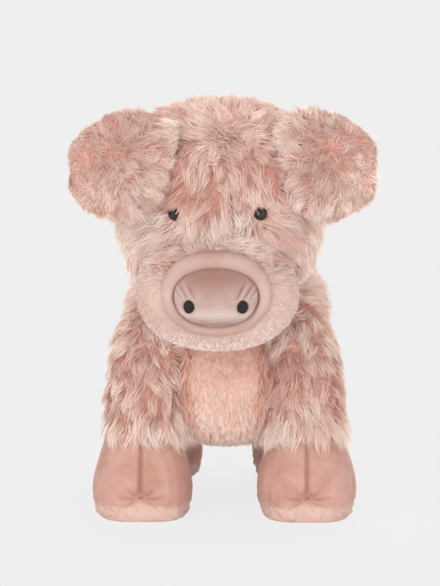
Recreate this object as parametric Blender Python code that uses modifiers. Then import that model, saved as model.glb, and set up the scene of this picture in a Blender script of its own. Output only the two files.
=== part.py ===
"""A standing plush pig: long-pile covers, velvet hooves and snout, and the stuffing inside them.

The pig faces -Y and stands on Z = 0. Left and right are the pig's own, so its left side is +X.
The head turns and nods on a ball of neck stuffing, the legs swing at the shoulder and the hip,
the ears flap on the seam at their root and the tail wags.
"""

import math

import bmesh
import bpy
from mathutils import Matrix, Vector
from mathutils.bvhtree import BVHTree

# Cloth, and the seam allowance between two sewn pieces
GAP = 0.0003
FILL_GAP = 0.0009
PILE_WALL = 0.005
VELVET_WALL = 0.003
SOLE_WALL = 0.003
OVERRUN = 0.02

# Body: a barrel along Y
BODY_FRONT_Y = -0.084
BODY_LENGTH = 0.253
BODY_WIDTH = 0.174
BODY_HEIGHT = 0.185
BELLY_Z = 0.050
BELLY_PANEL_WIDTH_SHARE = 0.325
BELLY_PANEL_TOP_Z = 0.153
BELLY_PANEL_BACK_Y = 0.153
# Each row: along, then left, right, low and high of that section. The first and the last are poles.
BODY_ROW_SHARES = (
    (0.00, 0.50, 0.50, 0.46, 0.46),
    (0.04, 0.28, 0.72, 0.16, 0.60),
    (0.16, 0.09, 0.91, 0.03, 0.75),
    (0.38, 0.01, 0.99, 0.00, 0.93),
    (0.62, 0.00, 1.00, 0.00, 1.00),
    (0.84, 0.06, 0.94, 0.05, 0.95),
    (0.96, 0.24, 0.76, 0.24, 0.80),
    (1.00, 0.50, 0.50, 0.55, 0.55),
)

# Legs: each swings about an axis along X, and its top is round about that axis.
# The flat inner face of a leg lies this share of the body's width out from the middle.
FRONT_INNER_SHARE = 0.196
HIND_INNER_SHARE = 0.172
LEG_WIDTH = 0.068
SHOULDER_WIDTH = 0.054
SHOULDER_RADIUS = 0.042
LEG_DEPTH = 0.070
LEG_PIVOT_Z = 0.145
FRONT_PIVOT_Y = -0.046
HIND_PIVOT_Y = 0.121
HEM_Z = 0.072
LEG_SWING = math.radians(10)
# Each row: depth below the leg's top, its outer side's width and its depth front to back
LEG_ROW_SHARES = (
    (0.00, 0.46, 0.00),
    (0.05, 0.72, 0.52),
    (0.19, 0.92, 0.94),
    (0.38, 1.00, 1.12),
    (0.60, 1.00, 1.05),
    (0.80, 1.00, 1.00),
    (1.00, 1.00, 1.00),
)

# Hooves: velvet boots with two toes
HOOF_WIDTH = 0.086
HOOF_LENGTH = 0.098
HOOF_OUTWARD = 0.002
HOOF_FORWARD = 0.015
CLEFT_DEPTH = 0.011
# Each row: height, width, length, how far forward of the leg, and how far the cleft draws in its front
HOOF_ROW_SHARES = (
    (-0.14, 0.64, 0.68, 1.00, 0.30),
    (0.02, 0.88, 0.88, 1.00, 0.90),
    (0.22, 1.00, 0.99, 1.00, 1.00),
    (0.46, 1.00, 0.98, 1.00, 0.65),
    (0.74, 0.84, 0.80, 0.50, 0.40),
    (1.02, 0.70, 0.66, 0.10, 0.20),
    (1.26, 0.64, 0.62, 0.00, 0.00),
)

# Head: wider than deep, turned a very little to the pig's right and set a little to that side
HEAD_TURN = math.radians(-1)
HEAD_SHIFT_X = -0.003
HEAD_FRONT_Y = -0.146
HEAD_LENGTH = 0.132
HEAD_WIDTH = 0.164
HEAD_BOTTOM_Z = 0.179
HEAD_HEIGHT = 0.174
HEAD_ROW_SHARES = (
    (0.00, 0.50, 0.50, 0.54, 0.54),
    (0.08, 0.22, 0.78, 0.26, 0.88),
    (0.27, 0.03, 0.97, 0.12, 0.97),
    (0.50, -0.01, 1.01, 0.03, 1.01),
    (0.74, 0.03, 0.97, 0.06, 0.97),
    (0.93, 0.18, 0.82, 0.24, 0.82),
    (1.00, 0.50, 0.50, 0.54, 0.54),
)
NECK_Y = -0.050
NECK_Z = 0.201
NECK_RADIUS = 0.035

# Muzzle and snout
MUZZLE_FRONT_Y = -0.166
MUZZLE_LENGTH = 0.060
MUZZLE_WIDTH = 0.134
MUZZLE_BOTTOM_Z = 0.152
MUZZLE_HEIGHT = 0.094
MUZZLE_ROW_SHARES = (
    (0.00, 0.50, 0.50, 0.50, 0.50),
    (0.10, 0.10, 0.90, 0.10, 0.92),
    (0.35, 0.00, 1.00, 0.02, 0.99),
    (0.62, 0.00, 1.00, 0.00, 1.00),
    (0.86, 0.08, 0.92, 0.08, 0.93),
    (0.98, 0.21, 0.79, 0.20, 0.81),
    (1.00, 0.50, 0.50, 0.50, 0.50),
)
SNOUT_Z = 0.203
SNOUT_WIDTH = 0.086
SNOUT_HEIGHT = 0.066
ROLL_TOP_RADIUS = 0.0075
ROLL_SIDE_RADIUS = 0.0052
ROLL_BOTTOM_RADIUS = 0.0045
PAD_DEPTH = 0.014
# Each row: depth from the back of the pad, and how much of the roll's opening the pad fills
PAD_ROW_SHARES = ((0.00, 0.00), (0.04, 0.80), (0.32, 1.00), (0.66, 0.98), (0.92, 0.76), (1.00, 0.00))
NOSTRIL_SPACING = 0.041
NOSTRIL_Z = 0.194
NOSTRIL_WIDTH = 0.0105
NOSTRIL_HEIGHT = 0.0115
NOSTRIL_THICKNESS = 0.0030
NOSTRIL_PROUD = 0.0006

# Eyes: domed buttons on a shank, each held by a washer inside the cover
EYE_DIAMETER = 0.012
EYE_SPACING = 0.071
EYE_HEIGHT_SHARE = 0.495
EYE_YAW = math.radians(18)
EYE_SUNK = 0.0028
EYE_DOME = 0.0052
SHANK_DIAMETER = 0.0040
SHANK_LENGTH = 0.0120
WASHER_DIAMETER = 0.0150
WASHER_THICKNESS = 0.0018

# Ears: two panels each, sewn round the edge. The left one is gathered a little more than the right.
LEFT_EAR_LENGTH = 0.069
RIGHT_EAR_LENGTH = 0.074
EAR_HEIGHT = 0.086
EAR_PANEL = 0.0075
LEFT_STAND_OFF = 0.0020
RIGHT_STAND_OFF = 0.0030
# The upper and the lower end of a root: how far out as a share of the head's width, and how high up
LEFT_ROOT_SHARES = ((0.320, 0.850), (0.380, 0.575))
RIGHT_ROOT_SHARES = ((0.235, 0.850), (0.305, 0.575))
EAR_BOW = 0.010
# Each row: how far out, the ear's height above and below the root's middle, and how far forward
EAR_ROW_SHARES = (
    (0.00, 0.32, 0.32, 0.06),
    (0.07, 0.43, 0.40, 0.70),
    (0.28, 0.53, 0.50, 1.25),
    (0.60, 0.51, 0.48, 1.20),
    (0.86, 0.34, 0.36, 0.95),
    (1.00, 0.13, 0.20, 0.70),
)

# Tail: one curl of velvet tube
TAIL_RADIUS = 0.0040
TAIL_CURL_RADIUS = 0.0105
TAIL_LENGTH = 0.015
TAIL_Z = 0.175
TAIL_TURNS = 1.25
TAIL_ROOT_SHARE = 0.7

SIDES = 12

for old in list(bpy.data.objects):
    bpy.data.objects.remove(old, do_unlink=True)

pig = bpy.data.collections.new("plush_pig")
cutters = bpy.data.collections.new("cutters")
for collection in (pig, cutters):
    bpy.context.scene.collection.children.link(collection)


def material(name, colour, roughness):
    made = bpy.data.materials.new(name)
    made.use_nodes = True
    shader = made.node_tree.nodes["Principled BSDF"]
    shader.inputs["Base Color"].default_value = (*colour, 1)
    shader.inputs["Roughness"].default_value = roughness
    return made


FUR = (0.62, 0.36, 0.29)
BELLY = (0.78, 0.51, 0.41)
VELVET = (0.62, 0.38, 0.32)
FIBRE = (0.85, 0.84, 0.80)
BLACK = (0.012, 0.010, 0.010)


def add(name, mesh, colour, roughness=0.9, carrier=None, helper=False):
    """An object of this mesh, with its own material, carried by an empty. A helper only cuts."""
    obj = bpy.data.objects.new(name, mesh)
    (cutters if helper else pig).objects.link(obj)
    if helper:
        obj.hide_render = True
        obj.display_type = "WIRE"
    else:
        mesh.materials.append(material(name, colour, roughness))
    if carrier:
        obj.parent = carrier
        obj.location = -Vector(carrier["rest"])
    return obj


def carrier_at(name, place, turn=0.0):
    """An empty on a joint's axis. What it carries is drawn in the pig's own frame."""
    empty = bpy.data.objects.new(name, None)
    empty.location = place
    empty.rotation_euler.z = turn
    empty["rest"] = place
    pig.objects.link(empty)
    bpy.context.view_layer.update()
    return empty


def mesh_from(bm, name, smooth=True):
    bmesh.ops.recalc_face_normals(bm, faces=bm.faces)
    mesh = bpy.data.meshes.new(name)
    bm.to_mesh(mesh)
    bm.free()
    if smooth:
        mesh.shade_smooth()
    return mesh


def ring_points(row, sides, square):
    """The corners of one section, (u, v), on a superellipse from u low to u high and v low to v high."""
    low_u, high_u, low_v, high_v = row
    points = []
    for k in range(sides):
        turn = 2 * math.pi * k / sides
        across = math.copysign(abs(math.cos(turn)) ** (2 / square), math.cos(turn))
        up = math.copysign(abs(math.sin(turn)) ** (2 / square), math.sin(turn))
        u, v = low_u + high_u + (high_u - low_u) * across, low_v + high_v + (high_v - low_v) * up
        points.append((u / 2, v / 2))
    return points


# Subdivision draws a ring of this many corners in by this share
DRAWN_IN = (2 + math.cos(2 * math.pi / SIDES)) / 3


def cage(name, rows, axis, soft, square=2.2, dents=None, sides=SIDES):
    """A coarse cage round rows of (along, u low, u high, v low, v high): rings, with a pole at each end.

    Along an axis of Y, u is X and v is Z. Along Z, u is X and v is Y. Dents move the middle of the
    low v side of each ring inward. A soft cage is widened by what its subdivision draws in.
    """
    bm = bmesh.new()
    widen = 1 / DRAWN_IN if soft else 1

    def corner(along, u, v):
        return bm.verts.new((u, along, v) if axis == "Y" else (u, v, along))

    rings = []
    for index, (along, *row) in enumerate(rows):
        middle_u, middle_v = (row[0] + row[1]) / 2, (row[2] + row[3]) / 2
        if row[0] == row[1] or row[2] == row[3]:
            rings.append([corner(along, middle_u, middle_v)])
            continue
        points = ring_points(row, sides, square)
        ring = []
        for k, (u, v) in enumerate(points):
            if dents and k == sides * 3 // 4:
                v += dents[index]
            ring.append(corner(along, middle_u + (u - middle_u) * widen, middle_v + (v - middle_v) * widen))
        rings.append(ring)
    for first, second in zip(rings, rings[1:]):
        for k in range(sides):
            one, two = first[k % len(first)], first[(k + 1) % len(first)]
            three, four = second[(k + 1) % len(second)], second[k % len(second)]
            bm.faces.new(list(dict.fromkeys((one, two, three, four))))
    for end in (rings[0], rings[-1]):
        if len(end) > 1:
            bm.faces.new(end)
    return mesh_from(bm, name)


def subdivide(obj, levels=1):
    modifier = obj.modifiers.new("Subdivision", "SUBSURF")
    modifier.levels = modifier.render_levels = levels


def boolean(obj, other, operation="DIFFERENCE"):
    modifier = obj.modifiers.new(f"{operation} {other.name}", "BOOLEAN")
    modifier.operation = operation
    modifier.object = other
    modifier.solver = "EXACT"


def box_mesh(name, low, high):
    bm = bmesh.new()
    bmesh.ops.create_cube(bm, size=1)
    low, high = Vector(low), Vector(high)
    bmesh.ops.scale(bm, vec=high - low, verts=bm.verts)
    bmesh.ops.translate(bm, vec=(low + high) / 2, verts=bm.verts)
    return mesh_from(bm, name, smooth=False)


def ball_mesh(name, centre, radius, segments=20):
    bm = bmesh.new()
    bmesh.ops.create_uvsphere(bm, u_segments=segments, v_segments=segments // 2, radius=radius)
    bmesh.ops.translate(bm, vec=centre, verts=bm.verts)
    return mesh_from(bm, name)


def rod_mesh(name, start, end, radius, segments=12, radius_share=(1, 1)):
    """A cylinder from start to end, with its round section stretched by radius_share."""
    start, end = Vector(start), Vector(end)
    bm = bmesh.new()
    bmesh.ops.create_cone(
        bm, cap_ends=True, segments=segments, radius1=radius, radius2=radius, depth=(end - start).length
    )
    bmesh.ops.scale(bm, vec=(*radius_share, 1), verts=bm.verts)
    turn = Vector((0, 0, 1)).rotation_difference(end - start).to_matrix().to_4x4()
    bmesh.ops.transform(bm, matrix=Matrix.Translation((start + end) / 2) @ turn, verts=bm.verts)
    mesh = mesh_from(bm, name)
    mesh.set_sharp_from_angle(angle=math.radians(50))
    return mesh


def prism_mesh(name, outline, x_near, x_far):
    """An outline in (y, z), extruded along X."""
    bm = bmesh.new()
    face = bm.faces.new([bm.verts.new((x_near, y, z)) for y, z in outline])
    pushed = bmesh.ops.extrude_face_region(bm, geom=[face])
    moved = [part for part in pushed["geom"] if isinstance(part, bmesh.types.BMVert)]
    bmesh.ops.translate(bm, vec=(x_far - x_near, 0, 0), verts=moved)
    return mesh_from(bm, name, smooth=False)


def touch(obj, start, direction):
    """Where a line from outside first meets an object's finished surface, and that surface's normal."""
    graph = bpy.context.evaluated_depsgraph_get()
    tree = BVHTree.FromObject(obj, graph)
    place = obj.matrix_world
    back = place.inverted()
    hit = tree.ray_cast(back @ Vector(start), back.to_3x3() @ Vector(direction))
    return place @ hit[0], (place.to_3x3() @ hit[1]).normalized()


def boxed(shares, y_from, y_to, width, low, height, inset):
    """Rows of a form along Y, in metres, from its shares of a box, drawn in alike all round by at least inset."""
    scale = 1 - 2 * inset / min(width, height, abs(y_to - y_from))
    middle_y, middle_z = (y_from + y_to) / 2, low + height / 2
    return [
        (
            middle_y + (y_to - y_from) * (along - 0.5) * scale,
            (left - 0.5) * width * scale,
            (right - 0.5) * width * scale,
            middle_z + (bottom - 0.5) * height * scale,
            middle_z + (top - 0.5) * height * scale,
        )
        for along, left, right, bottom, top in shares
    ]


# Body. The cover is the barrel less a pocket for each leg, and hollow where its stuffing goes.
def leg_pocket(name, side, inner_x, pivot_y, grow):
    """The room that a leg needs to swing: round above its axis, and wider below it and before the hoof."""
    radius = SHOULDER_RADIUS + GAP + grow
    depth = LEG_PIVOT_Z - BELLY_Z + OVERRUN
    foot = LEG_DEPTH / 2 + depth * math.tan(LEG_SWING) + grow
    outline = [
        (pivot_y + radius * math.cos(math.pi * k / SIDES), LEG_PIVOT_Z + radius * math.sin(math.pi * k / SIDES))
        for k in range(SIDES + 1)
    ]
    outline += [
        (pivot_y - foot - HOOF_FORWARD, LEG_PIVOT_Z - depth),
        (pivot_y + foot, LEG_PIVOT_Z - depth),
    ]
    near, far = inner_x - grow, BODY_WIDTH / 2 + OVERRUN
    return add(name, prism_mesh(name, outline, side * near, side * far), None, helper=True)


front_inner_x, hind_inner_x = BODY_WIDTH * FRONT_INNER_SHARE, BODY_WIDTH * HIND_INNER_SHARE
LEGS = {
    "front_left": (1, front_inner_x, FRONT_PIVOT_Y),
    "front_right": (-1, front_inner_x, FRONT_PIVOT_Y),
    "hind_left": (1, hind_inner_x, HIND_PIVOT_Y),
    "hind_right": (-1, hind_inner_x, HIND_PIVOT_Y),
}


def body_form(name, inset, soft, pocket_grow, colour=None, helper=False):
    rows = boxed(
        BODY_ROW_SHARES, BODY_FRONT_Y, BODY_FRONT_Y + BODY_LENGTH, BODY_WIDTH, BELLY_Z, BODY_HEIGHT, inset
    )
    obj = add(name, cage(name, rows, "Y", soft), colour, helper=helper)
    if soft:
        subdivide(obj)
    for leg, (side, inner_x, pivot_y) in LEGS.items():
        boolean(obj, leg_pocket(f"{name}_{leg}_pocket", side, inner_x, pivot_y, pocket_grow))
    return obj


neck_place = Vector((0, NECK_Y, NECK_Z))
body_cover = body_form("body_cover", 0, True, 0, FUR)
belly_panel = body_form("belly_panel", 0, True, 0, BELLY)
body_room = body_form("body_room", PILE_WALL, False, PILE_WALL, helper=True)
body_stuffing = body_form("body_stuffing", PILE_WALL + FILL_GAP, False, PILE_WALL + FILL_GAP, FIBRE)
neck_room = add("neck_room", ball_mesh("neck_room", neck_place, NECK_RADIUS + FILL_GAP), None, helper=True)


def panel_box(name, grow):
    half = BODY_WIDTH * BELLY_PANEL_WIDTH_SHARE / 2 + grow
    low = (-half, BODY_FRONT_Y - OVERRUN, BELLY_Z - OVERRUN)
    high = (half, BELLY_PANEL_BACK_Y + grow, BELLY_PANEL_TOP_Z + grow)
    return add(name, box_mesh(name, low, high), None, helper=True)


for cloth in (body_cover, belly_panel):
    boolean(cloth, body_room)
for piece in (body_cover, body_stuffing):
    boolean(piece, neck_room)
boolean(body_cover, panel_box("belly_panel_room", GAP))
boolean(belly_panel, panel_box("belly_panel_cut", 0), "INTERSECT")

# Tail. Its root sits in a round seat in the rump.
bpy.context.view_layer.update()
rump, _ = touch(body_cover, (0, BODY_FRONT_Y + BODY_LENGTH + OVERRUN, TAIL_Z), (0, -1, 0))
tail_seat = add("tail_seat", ball_mesh("tail_seat", rump, TAIL_RADIUS + GAP, SIDES), None, helper=True)
boolean(body_cover, tail_seat)
tail_pivot = carrier_at("tail_pivot", rump)

tail_curve = bpy.data.curves.new("tail", "CURVE")
tail_curve.dimensions = "3D"
tail_curve.bevel_depth = TAIL_RADIUS
tail_curve.bevel_resolution = 1
tail_curve.use_fill_caps = True
TAIL_STEPS = 24
spline = tail_curve.splines.new("POLY")
spline.points.add(TAIL_STEPS - 1)
for k, point in enumerate(spline.points):
    share = k / (TAIL_STEPS - 1)
    turn = 2 * math.pi * TAIL_TURNS * share
    reach = TAIL_CURL_RADIUS * math.sin(math.pi / 2 * min(1, share * 2))
    point.co = (
        rump.x + reach * math.sin(turn),
        rump.y + TAIL_LENGTH * math.sin(math.pi / 2 * min(1, share * 2)),
        rump.z + reach * (1 - math.cos(turn)),
        1,
    )
    point.radius = (1 - share / 2) * TAIL_ROOT_SHARE if k == 0 else 1 - share / 2
tail = bpy.data.objects.new("tail", tail_curve)
tail_curve.materials.append(material("tail", VELVET, 0.9))
pig.objects.link(tail)
tail.parent = tail_pivot
tail.location = -rump


# Legs. The sleeve, the hoof and the stuffing that fills them both are drawn from the same rows.
def leg_rows(side, inner_x, pivot_y, inset, bottom_z):
    """Rows of a sleeve from its round top down to bottom_z."""
    top = LEG_PIVOT_Z + SHOULDER_RADIUS - inset
    rows = []
    for down, out, deep in LEG_ROW_SHARES:
        width = SHOULDER_WIDTH + (LEG_WIDTH - SHOULDER_WIDTH) * down
        outer = inner_x + GAP + width * out
        half = LEG_DEPTH / 2 * deep - inset * (deep > 0)
        near, far = side * (inner_x + GAP * 2 + inset), side * (outer - inset)
        if not deep:
            near = far = side * (inner_x + GAP + width * out)
        rows.append((top + (bottom_z - top) * down, min(near, far), max(near, far), pivot_y - half, pivot_y + half))
    return rows


def hoof_centre(side, inner_x, pivot_y):
    return side * (inner_x + GAP + LEG_WIDTH / 2 + HOOF_OUTWARD), pivot_y


def hoof_rows(side, inner_x, pivot_y, inset):
    """Rows of a hoof from below its sole up past its hem, and the cleft of each."""
    middle_x, middle_y = hoof_centre(side, inner_x, pivot_y)
    rows, clefts = [], []
    for up, wide, long, ahead, cleft in HOOF_ROW_SHARES:
        half_x = HOOF_WIDTH / 2 * wide - inset
        half_y = HOOF_LENGTH / 2 * long - inset
        y = middle_y - HOOF_FORWARD * ahead
        rows.append((HEM_Z * up, middle_x - half_x, middle_x + half_x, y - half_y, y + half_y))
        clefts.append(CLEFT_DEPTH * cleft)
    return rows, clefts


def core_rows(side, inner_x, pivot_y, grow):
    """Rows of the stuffing from the shoulder down through the hoof, and the cleft of each."""
    upper = leg_rows(side, inner_x, pivot_y, PILE_WALL + FILL_GAP - grow, HEM_Z)
    lower, clefts = hoof_rows(side, inner_x, pivot_y, VELVET_WALL + FILL_GAP - grow)
    floor_z = SOLE_WALL + FILL_GAP - grow
    rows, dents = upper[:-1], [0] * (len(upper) - 1)
    for row, cleft in reversed(list(zip(lower[1:-1], clefts[1:-1]))):
        rows.append((max(row[0], floor_z), *row[1:]))
        dents.append(cleft)
    return rows, dents


for leg, (side, inner_x, pivot_y) in LEGS.items():
    pivot = carrier_at(f"{leg}_pivot", Vector((side * inner_x, pivot_y, LEG_PIVOT_Z)))
    reach = LEG_WIDTH + HOOF_WIDTH
    span = (side * inner_x - reach, pivot_y - reach), (side * inner_x + reach, pivot_y + reach)

    def cut_box(name, low_z, high_z):
        return add(name, box_mesh(name, (*span[0], low_z), (*span[1], high_z)), None, carrier=pivot, helper=True)

    above_hem = cut_box(f"{leg}_above_hem", HEM_Z, LEG_PIVOT_Z + reach)
    below_hem = cut_box(f"{leg}_below_hem", -reach, HEM_Z + GAP)
    sole_slab = cut_box(f"{leg}_sole_slab", 0, SOLE_WALL)
    below_upper = cut_box(f"{leg}_below_upper", -reach, SOLE_WALL + GAP)

    rows, dents = core_rows(side, inner_x, pivot_y, FILL_GAP)
    mesh = cage(f"leg_{leg}_room", rows, "Z", False, dents=dents)
    room = add(f"leg_{leg}_room", mesh, None, carrier=pivot, helper=True)

    rows, dents = core_rows(side, inner_x, pivot_y, 0)
    mesh = cage(f"leg_{leg}_stuffing", rows, "Z", False, dents=dents)
    add(f"leg_{leg}_stuffing", mesh, FIBRE, carrier=pivot)

    rows = leg_rows(side, inner_x, pivot_y, 0, HEM_Z - OVERRUN)
    mesh = cage(f"leg_{leg}_sleeve", rows, "Z", True, square=2.6)
    sleeve = add(f"leg_{leg}_sleeve", mesh, FUR, carrier=pivot)
    subdivide(sleeve)
    boolean(sleeve, room)
    boolean(sleeve, below_hem)

    rows, dents = hoof_rows(side, inner_x, pivot_y, 0)
    mesh = cage(f"hoof_{leg}", rows, "Z", True, square=2.3, dents=dents)
    hoof = add(f"hoof_{leg}", mesh, VELVET, carrier=pivot)
    sole = add(f"sole_{leg}", mesh.copy(), VELVET, carrier=pivot)
    for form in (hoof, sole):
        subdivide(form)
    boolean(hoof, room)
    boolean(hoof, above_hem)
    boolean(hoof, below_upper)
    boolean(sole, sole_slab, "INTERSECT")

# Neck: a firm ball of stuffing that the body and the head both close round
neck_nod = carrier_at("neck_nod", neck_place)
add("neck_stuffing", ball_mesh("neck_stuffing", neck_place, NECK_RADIUS), FIBRE, carrier=neck_nod)
head_turn = carrier_at("head_turn", neck_place, HEAD_TURN)
# The neck's place in the frame that the head is drawn in
head_rest = neck_place - Vector((HEAD_SHIFT_X, 0, 0))
head_turn["rest"] = head_rest


# Head
def head_z(share):
    return HEAD_BOTTOM_Z + HEAD_HEIGHT * share


def head_form(name, inset, soft, colour=None, helper=False):
    rows = boxed(
        HEAD_ROW_SHARES, HEAD_FRONT_Y + HEAD_LENGTH, HEAD_FRONT_Y, HEAD_WIDTH, HEAD_BOTTOM_Z, HEAD_HEIGHT, inset
    )
    mesh = cage(name, rows, "Y", soft, square=2.7)
    obj = add(name, mesh, colour, carrier=head_turn, helper=helper)
    if soft:
        subdivide(obj)
    return obj


def muzzle_form(name, inset, soft, colour=None, helper=False):
    rows = boxed(
        MUZZLE_ROW_SHARES,
        MUZZLE_FRONT_Y + MUZZLE_LENGTH,
        MUZZLE_FRONT_Y,
        MUZZLE_WIDTH,
        MUZZLE_BOTTOM_Z,
        MUZZLE_HEIGHT,
        inset,
    )
    mesh = cage(name, rows, "Y", soft)
    obj = add(name, mesh, colour, carrier=head_turn, helper=helper)
    if soft:
        subdivide(obj)
    return obj


head_cover = head_form("head_cover", 0, True, FUR)
head_room = head_form("head_room", PILE_WALL, False, helper=True)
head_stuffing = head_form("head_stuffing", PILE_WALL + FILL_GAP, False, FIBRE)
head_block = head_form("head_block", -GAP * 2, True, helper=True)
muzzle_cover = muzzle_form("muzzle_cover", 0, True, BELLY)
muzzle_room = muzzle_form("muzzle_room", VELVET_WALL, False, helper=True)
muzzle_stuffing = muzzle_form("muzzle_stuffing", VELVET_WALL + FILL_GAP, False, FIBRE)
boolean(muzzle_cover, muzzle_room)
for piece in (muzzle_cover, muzzle_stuffing):
    boolean(piece, head_block)
boolean(head_cover, head_room)
for piece in (head_cover, head_stuffing):
    boolean(piece, neck_room)


# Snout: a padded roll on the front of the muzzle, and the pad inside it
def roll_radius(turn):
    """The roll is fattest over the top of the snout and thinnest under it."""
    end = ROLL_TOP_RADIUS if math.sin(turn) > 0 else ROLL_BOTTOM_RADIUS
    return ROLL_SIDE_RADIUS + (end - ROLL_SIDE_RADIUS) * abs(math.sin(turn))


def snout_point(turn, inward):
    """A point on the snout's outline, drawn in by inward. The outline is squarer than an oval."""
    across = math.copysign(abs(math.cos(turn)) ** 0.9, math.cos(turn))
    up = math.copysign(abs(math.sin(turn)) ** 0.9, math.sin(turn))
    return (SNOUT_WIDTH / 2 - inward) * across, (SNOUT_HEIGHT / 2 - inward) * up


def on_head(obj, start, direction=(0, 1, 0)):
    """Where a line drawn in the head's own frame first meets obj, in that frame, and the normal there."""
    bpy.context.view_layer.update()
    place = head_turn.matrix_world @ Matrix.Translation(-head_rest)
    point, normal = touch(obj, place @ Vector(start), place.to_3x3() @ Vector(direction))
    return place.inverted() @ point, place.to_3x3().inverted() @ normal


roll_curve = bpy.data.curves.new("snout_roll", "CURVE")
roll_curve.dimensions = "3D"
roll_curve.bevel_depth = ROLL_SIDE_RADIUS
roll_curve.bevel_resolution = 2
ROLL_STEPS = 32
spline = roll_curve.splines.new("POLY")
spline.points.add(ROLL_STEPS - 1)
spline.use_cyclic_u = True
for k, point in enumerate(spline.points):
    turn = 2 * math.pi * k / ROLL_STEPS
    radius = roll_radius(turn)
    across, up = snout_point(turn, radius)
    seat, normal = on_head(muzzle_cover, (across, MUZZLE_FRONT_Y - OVERRUN, SNOUT_Z + up))
    point.co = (*(seat + normal * (radius + GAP)), 1)
    point.radius = radius / ROLL_SIDE_RADIUS
snout_roll = bpy.data.objects.new("snout_roll", roll_curve)
roll_curve.materials.append(material("snout_roll", VELVET, 0.9))
pig.objects.link(snout_roll)
snout_roll.parent = head_turn
snout_roll.location = -head_rest

pad_seat, _ = on_head(muzzle_cover, (0, MUZZLE_FRONT_Y - OVERRUN, SNOUT_Z))
bm = bmesh.new()
PAD_SIDES = ROLL_STEPS // 2
rings = []
for along, fill in PAD_ROW_SHARES:
    y = pad_seat.y - GAP - PAD_DEPTH * along
    if not fill:
        rings.append([bm.verts.new((0, y, SNOUT_Z))])
        continue
    ring = []
    for k in range(PAD_SIDES):
        across, _, up = Vector(spline.points[2 * k].co[:3]) - Vector((0, 0, SNOUT_Z))
        out = math.hypot(across, up)
        inside = (out - roll_radius(2 * math.pi * k / PAD_SIDES) - GAP) / out * fill
        ring.append(bm.verts.new((across * inside, y, SNOUT_Z + up * inside)))
    rings.append(ring)
for first, second in zip(rings, rings[1:]):
    for k in range(PAD_SIDES):
        corners = (first[k % len(first)], first[(k + 1) % PAD_SIDES % len(first)])
        corners += (second[(k + 1) % PAD_SIDES % len(second)], second[k % len(second)])
        bm.faces.new(list(dict.fromkeys(corners)))
snout_pad = add("snout_pad", mesh_from(bm, "snout_pad"), VELVET, carrier=head_turn)
subdivide(snout_pad)

# Nostrils: ovals of satin stitch let into the pad, leaning outwards
for name, side in (("left", 1), ("right", -1)):
    x = side * NOSTRIL_SPACING / 2
    front, _ = on_head(snout_pad, (x, MUZZLE_FRONT_Y - OVERRUN * 2, NOSTRIL_Z))
    outer, inner = front - Vector((0, NOSTRIL_PROUD, 0)), front + Vector((0, NOSTRIL_THICKNESS, 0))
    stretch = (1, NOSTRIL_HEIGHT / NOSTRIL_WIDTH)
    mesh = rod_mesh(f"nostril_{name}", outer, inner, NOSTRIL_WIDTH / 2, 18, stretch)
    add(f"nostril_{name}", mesh, BLACK, 0.6, carrier=head_turn)
    mesh = rod_mesh(
        f"nostril_{name}_room",
        outer - Vector((0, OVERRUN, 0)),
        inner + Vector((0, GAP, 0)),
        NOSTRIL_WIDTH / 2 + GAP,
        18,
        stretch,
    )
    boolean(snout_pad, add(f"nostril_{name}_room", mesh, None, carrier=head_turn, helper=True))

# Eyes
for name, side in (("left", 1), ("right", -1)):
    front, _ = on_head(head_block, (side * EYE_SPACING / 2, HEAD_FRONT_Y - OVERRUN, head_z(EYE_HEIGHT_SHARE)))
    outward = Vector((side * math.sin(EYE_YAW), -math.cos(EYE_YAW), 0))
    base = front - outward * EYE_SUNK
    eye_turn = Vector((0, 0, 1)).rotation_difference(outward)

    profile = [(0, EYE_DOME)]
    for k in range(1, 6):
        rise = math.pi / 2 * (1 - k / 5)
        profile.append((EYE_DIAMETER / 2 * math.cos(rise), EYE_DOME * math.sin(rise)))
    profile += [(SHANK_DIAMETER / 2, 0), (SHANK_DIAMETER / 2, -SHANK_LENGTH), (0, -SHANK_LENGTH)]
    bm = bmesh.new()
    points = [bm.verts.new((r, 0, z)) for r, z in profile]
    for one, two in zip(points, points[1:]):
        bm.edges.new((one, two))
    mesh = bpy.data.meshes.new(f"eye_{name}")
    bm.to_mesh(mesh)
    bm.free()
    eye = add(f"eye_{name}", mesh, BLACK, 0.1, carrier=head_turn)
    eye.location = base - head_rest
    eye.rotation_euler = eye_turn.to_euler()
    turned = eye.modifiers.new("Turn", "SCREW")
    turned.steps = turned.render_steps = 18
    turned.use_merge_vertices = True
    turned.merge_threshold = 1e-5
    turned.use_smooth_shade = True

    inner = base - outward * (PILE_WALL + WASHER_THICKNESS + GAP)
    washer_face = base - outward * (PILE_WALL + GAP)
    mesh = rod_mesh(f"eye_washer_{name}", washer_face, inner, WASHER_DIAMETER / 2)
    washer = add(f"eye_washer_{name}", mesh, FIBRE, 0.5, carrier=head_turn)
    shank_end = base - outward * (SHANK_LENGTH + GAP)
    mesh = rod_mesh(f"shank_{name}_room", front + outward * OVERRUN, shank_end, SHANK_DIAMETER / 2 + GAP)
    shank_room = add(f"shank_{name}_room", mesh, None, carrier=head_turn, helper=True)
    mesh = rod_mesh(f"socket_{name}", front + outward * OVERRUN, base - outward * GAP, EYE_DIAMETER / 2 + GAP)
    socket = add(f"socket_{name}", mesh, None, carrier=head_turn, helper=True)
    mesh = rod_mesh(f"washer_{name}_room", front, inner - outward * GAP, WASHER_DIAMETER / 2 + GAP)
    washer_room = add(f"washer_{name}_room", mesh, None, carrier=head_turn, helper=True)
    mesh = rod_mesh(f"washer_{name}_seat", washer_face + outward * GAP, inner, WASHER_DIAMETER / 2 + GAP)
    washer_seat = add(f"washer_{name}_seat", mesh, None, carrier=head_turn, helper=True)
    for room in (shank_room, socket, washer_seat):
        boolean(head_cover, room)
    for room in (shank_room, washer_room):
        boolean(head_stuffing, room)
    boolean(washer, shank_room)

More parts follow.
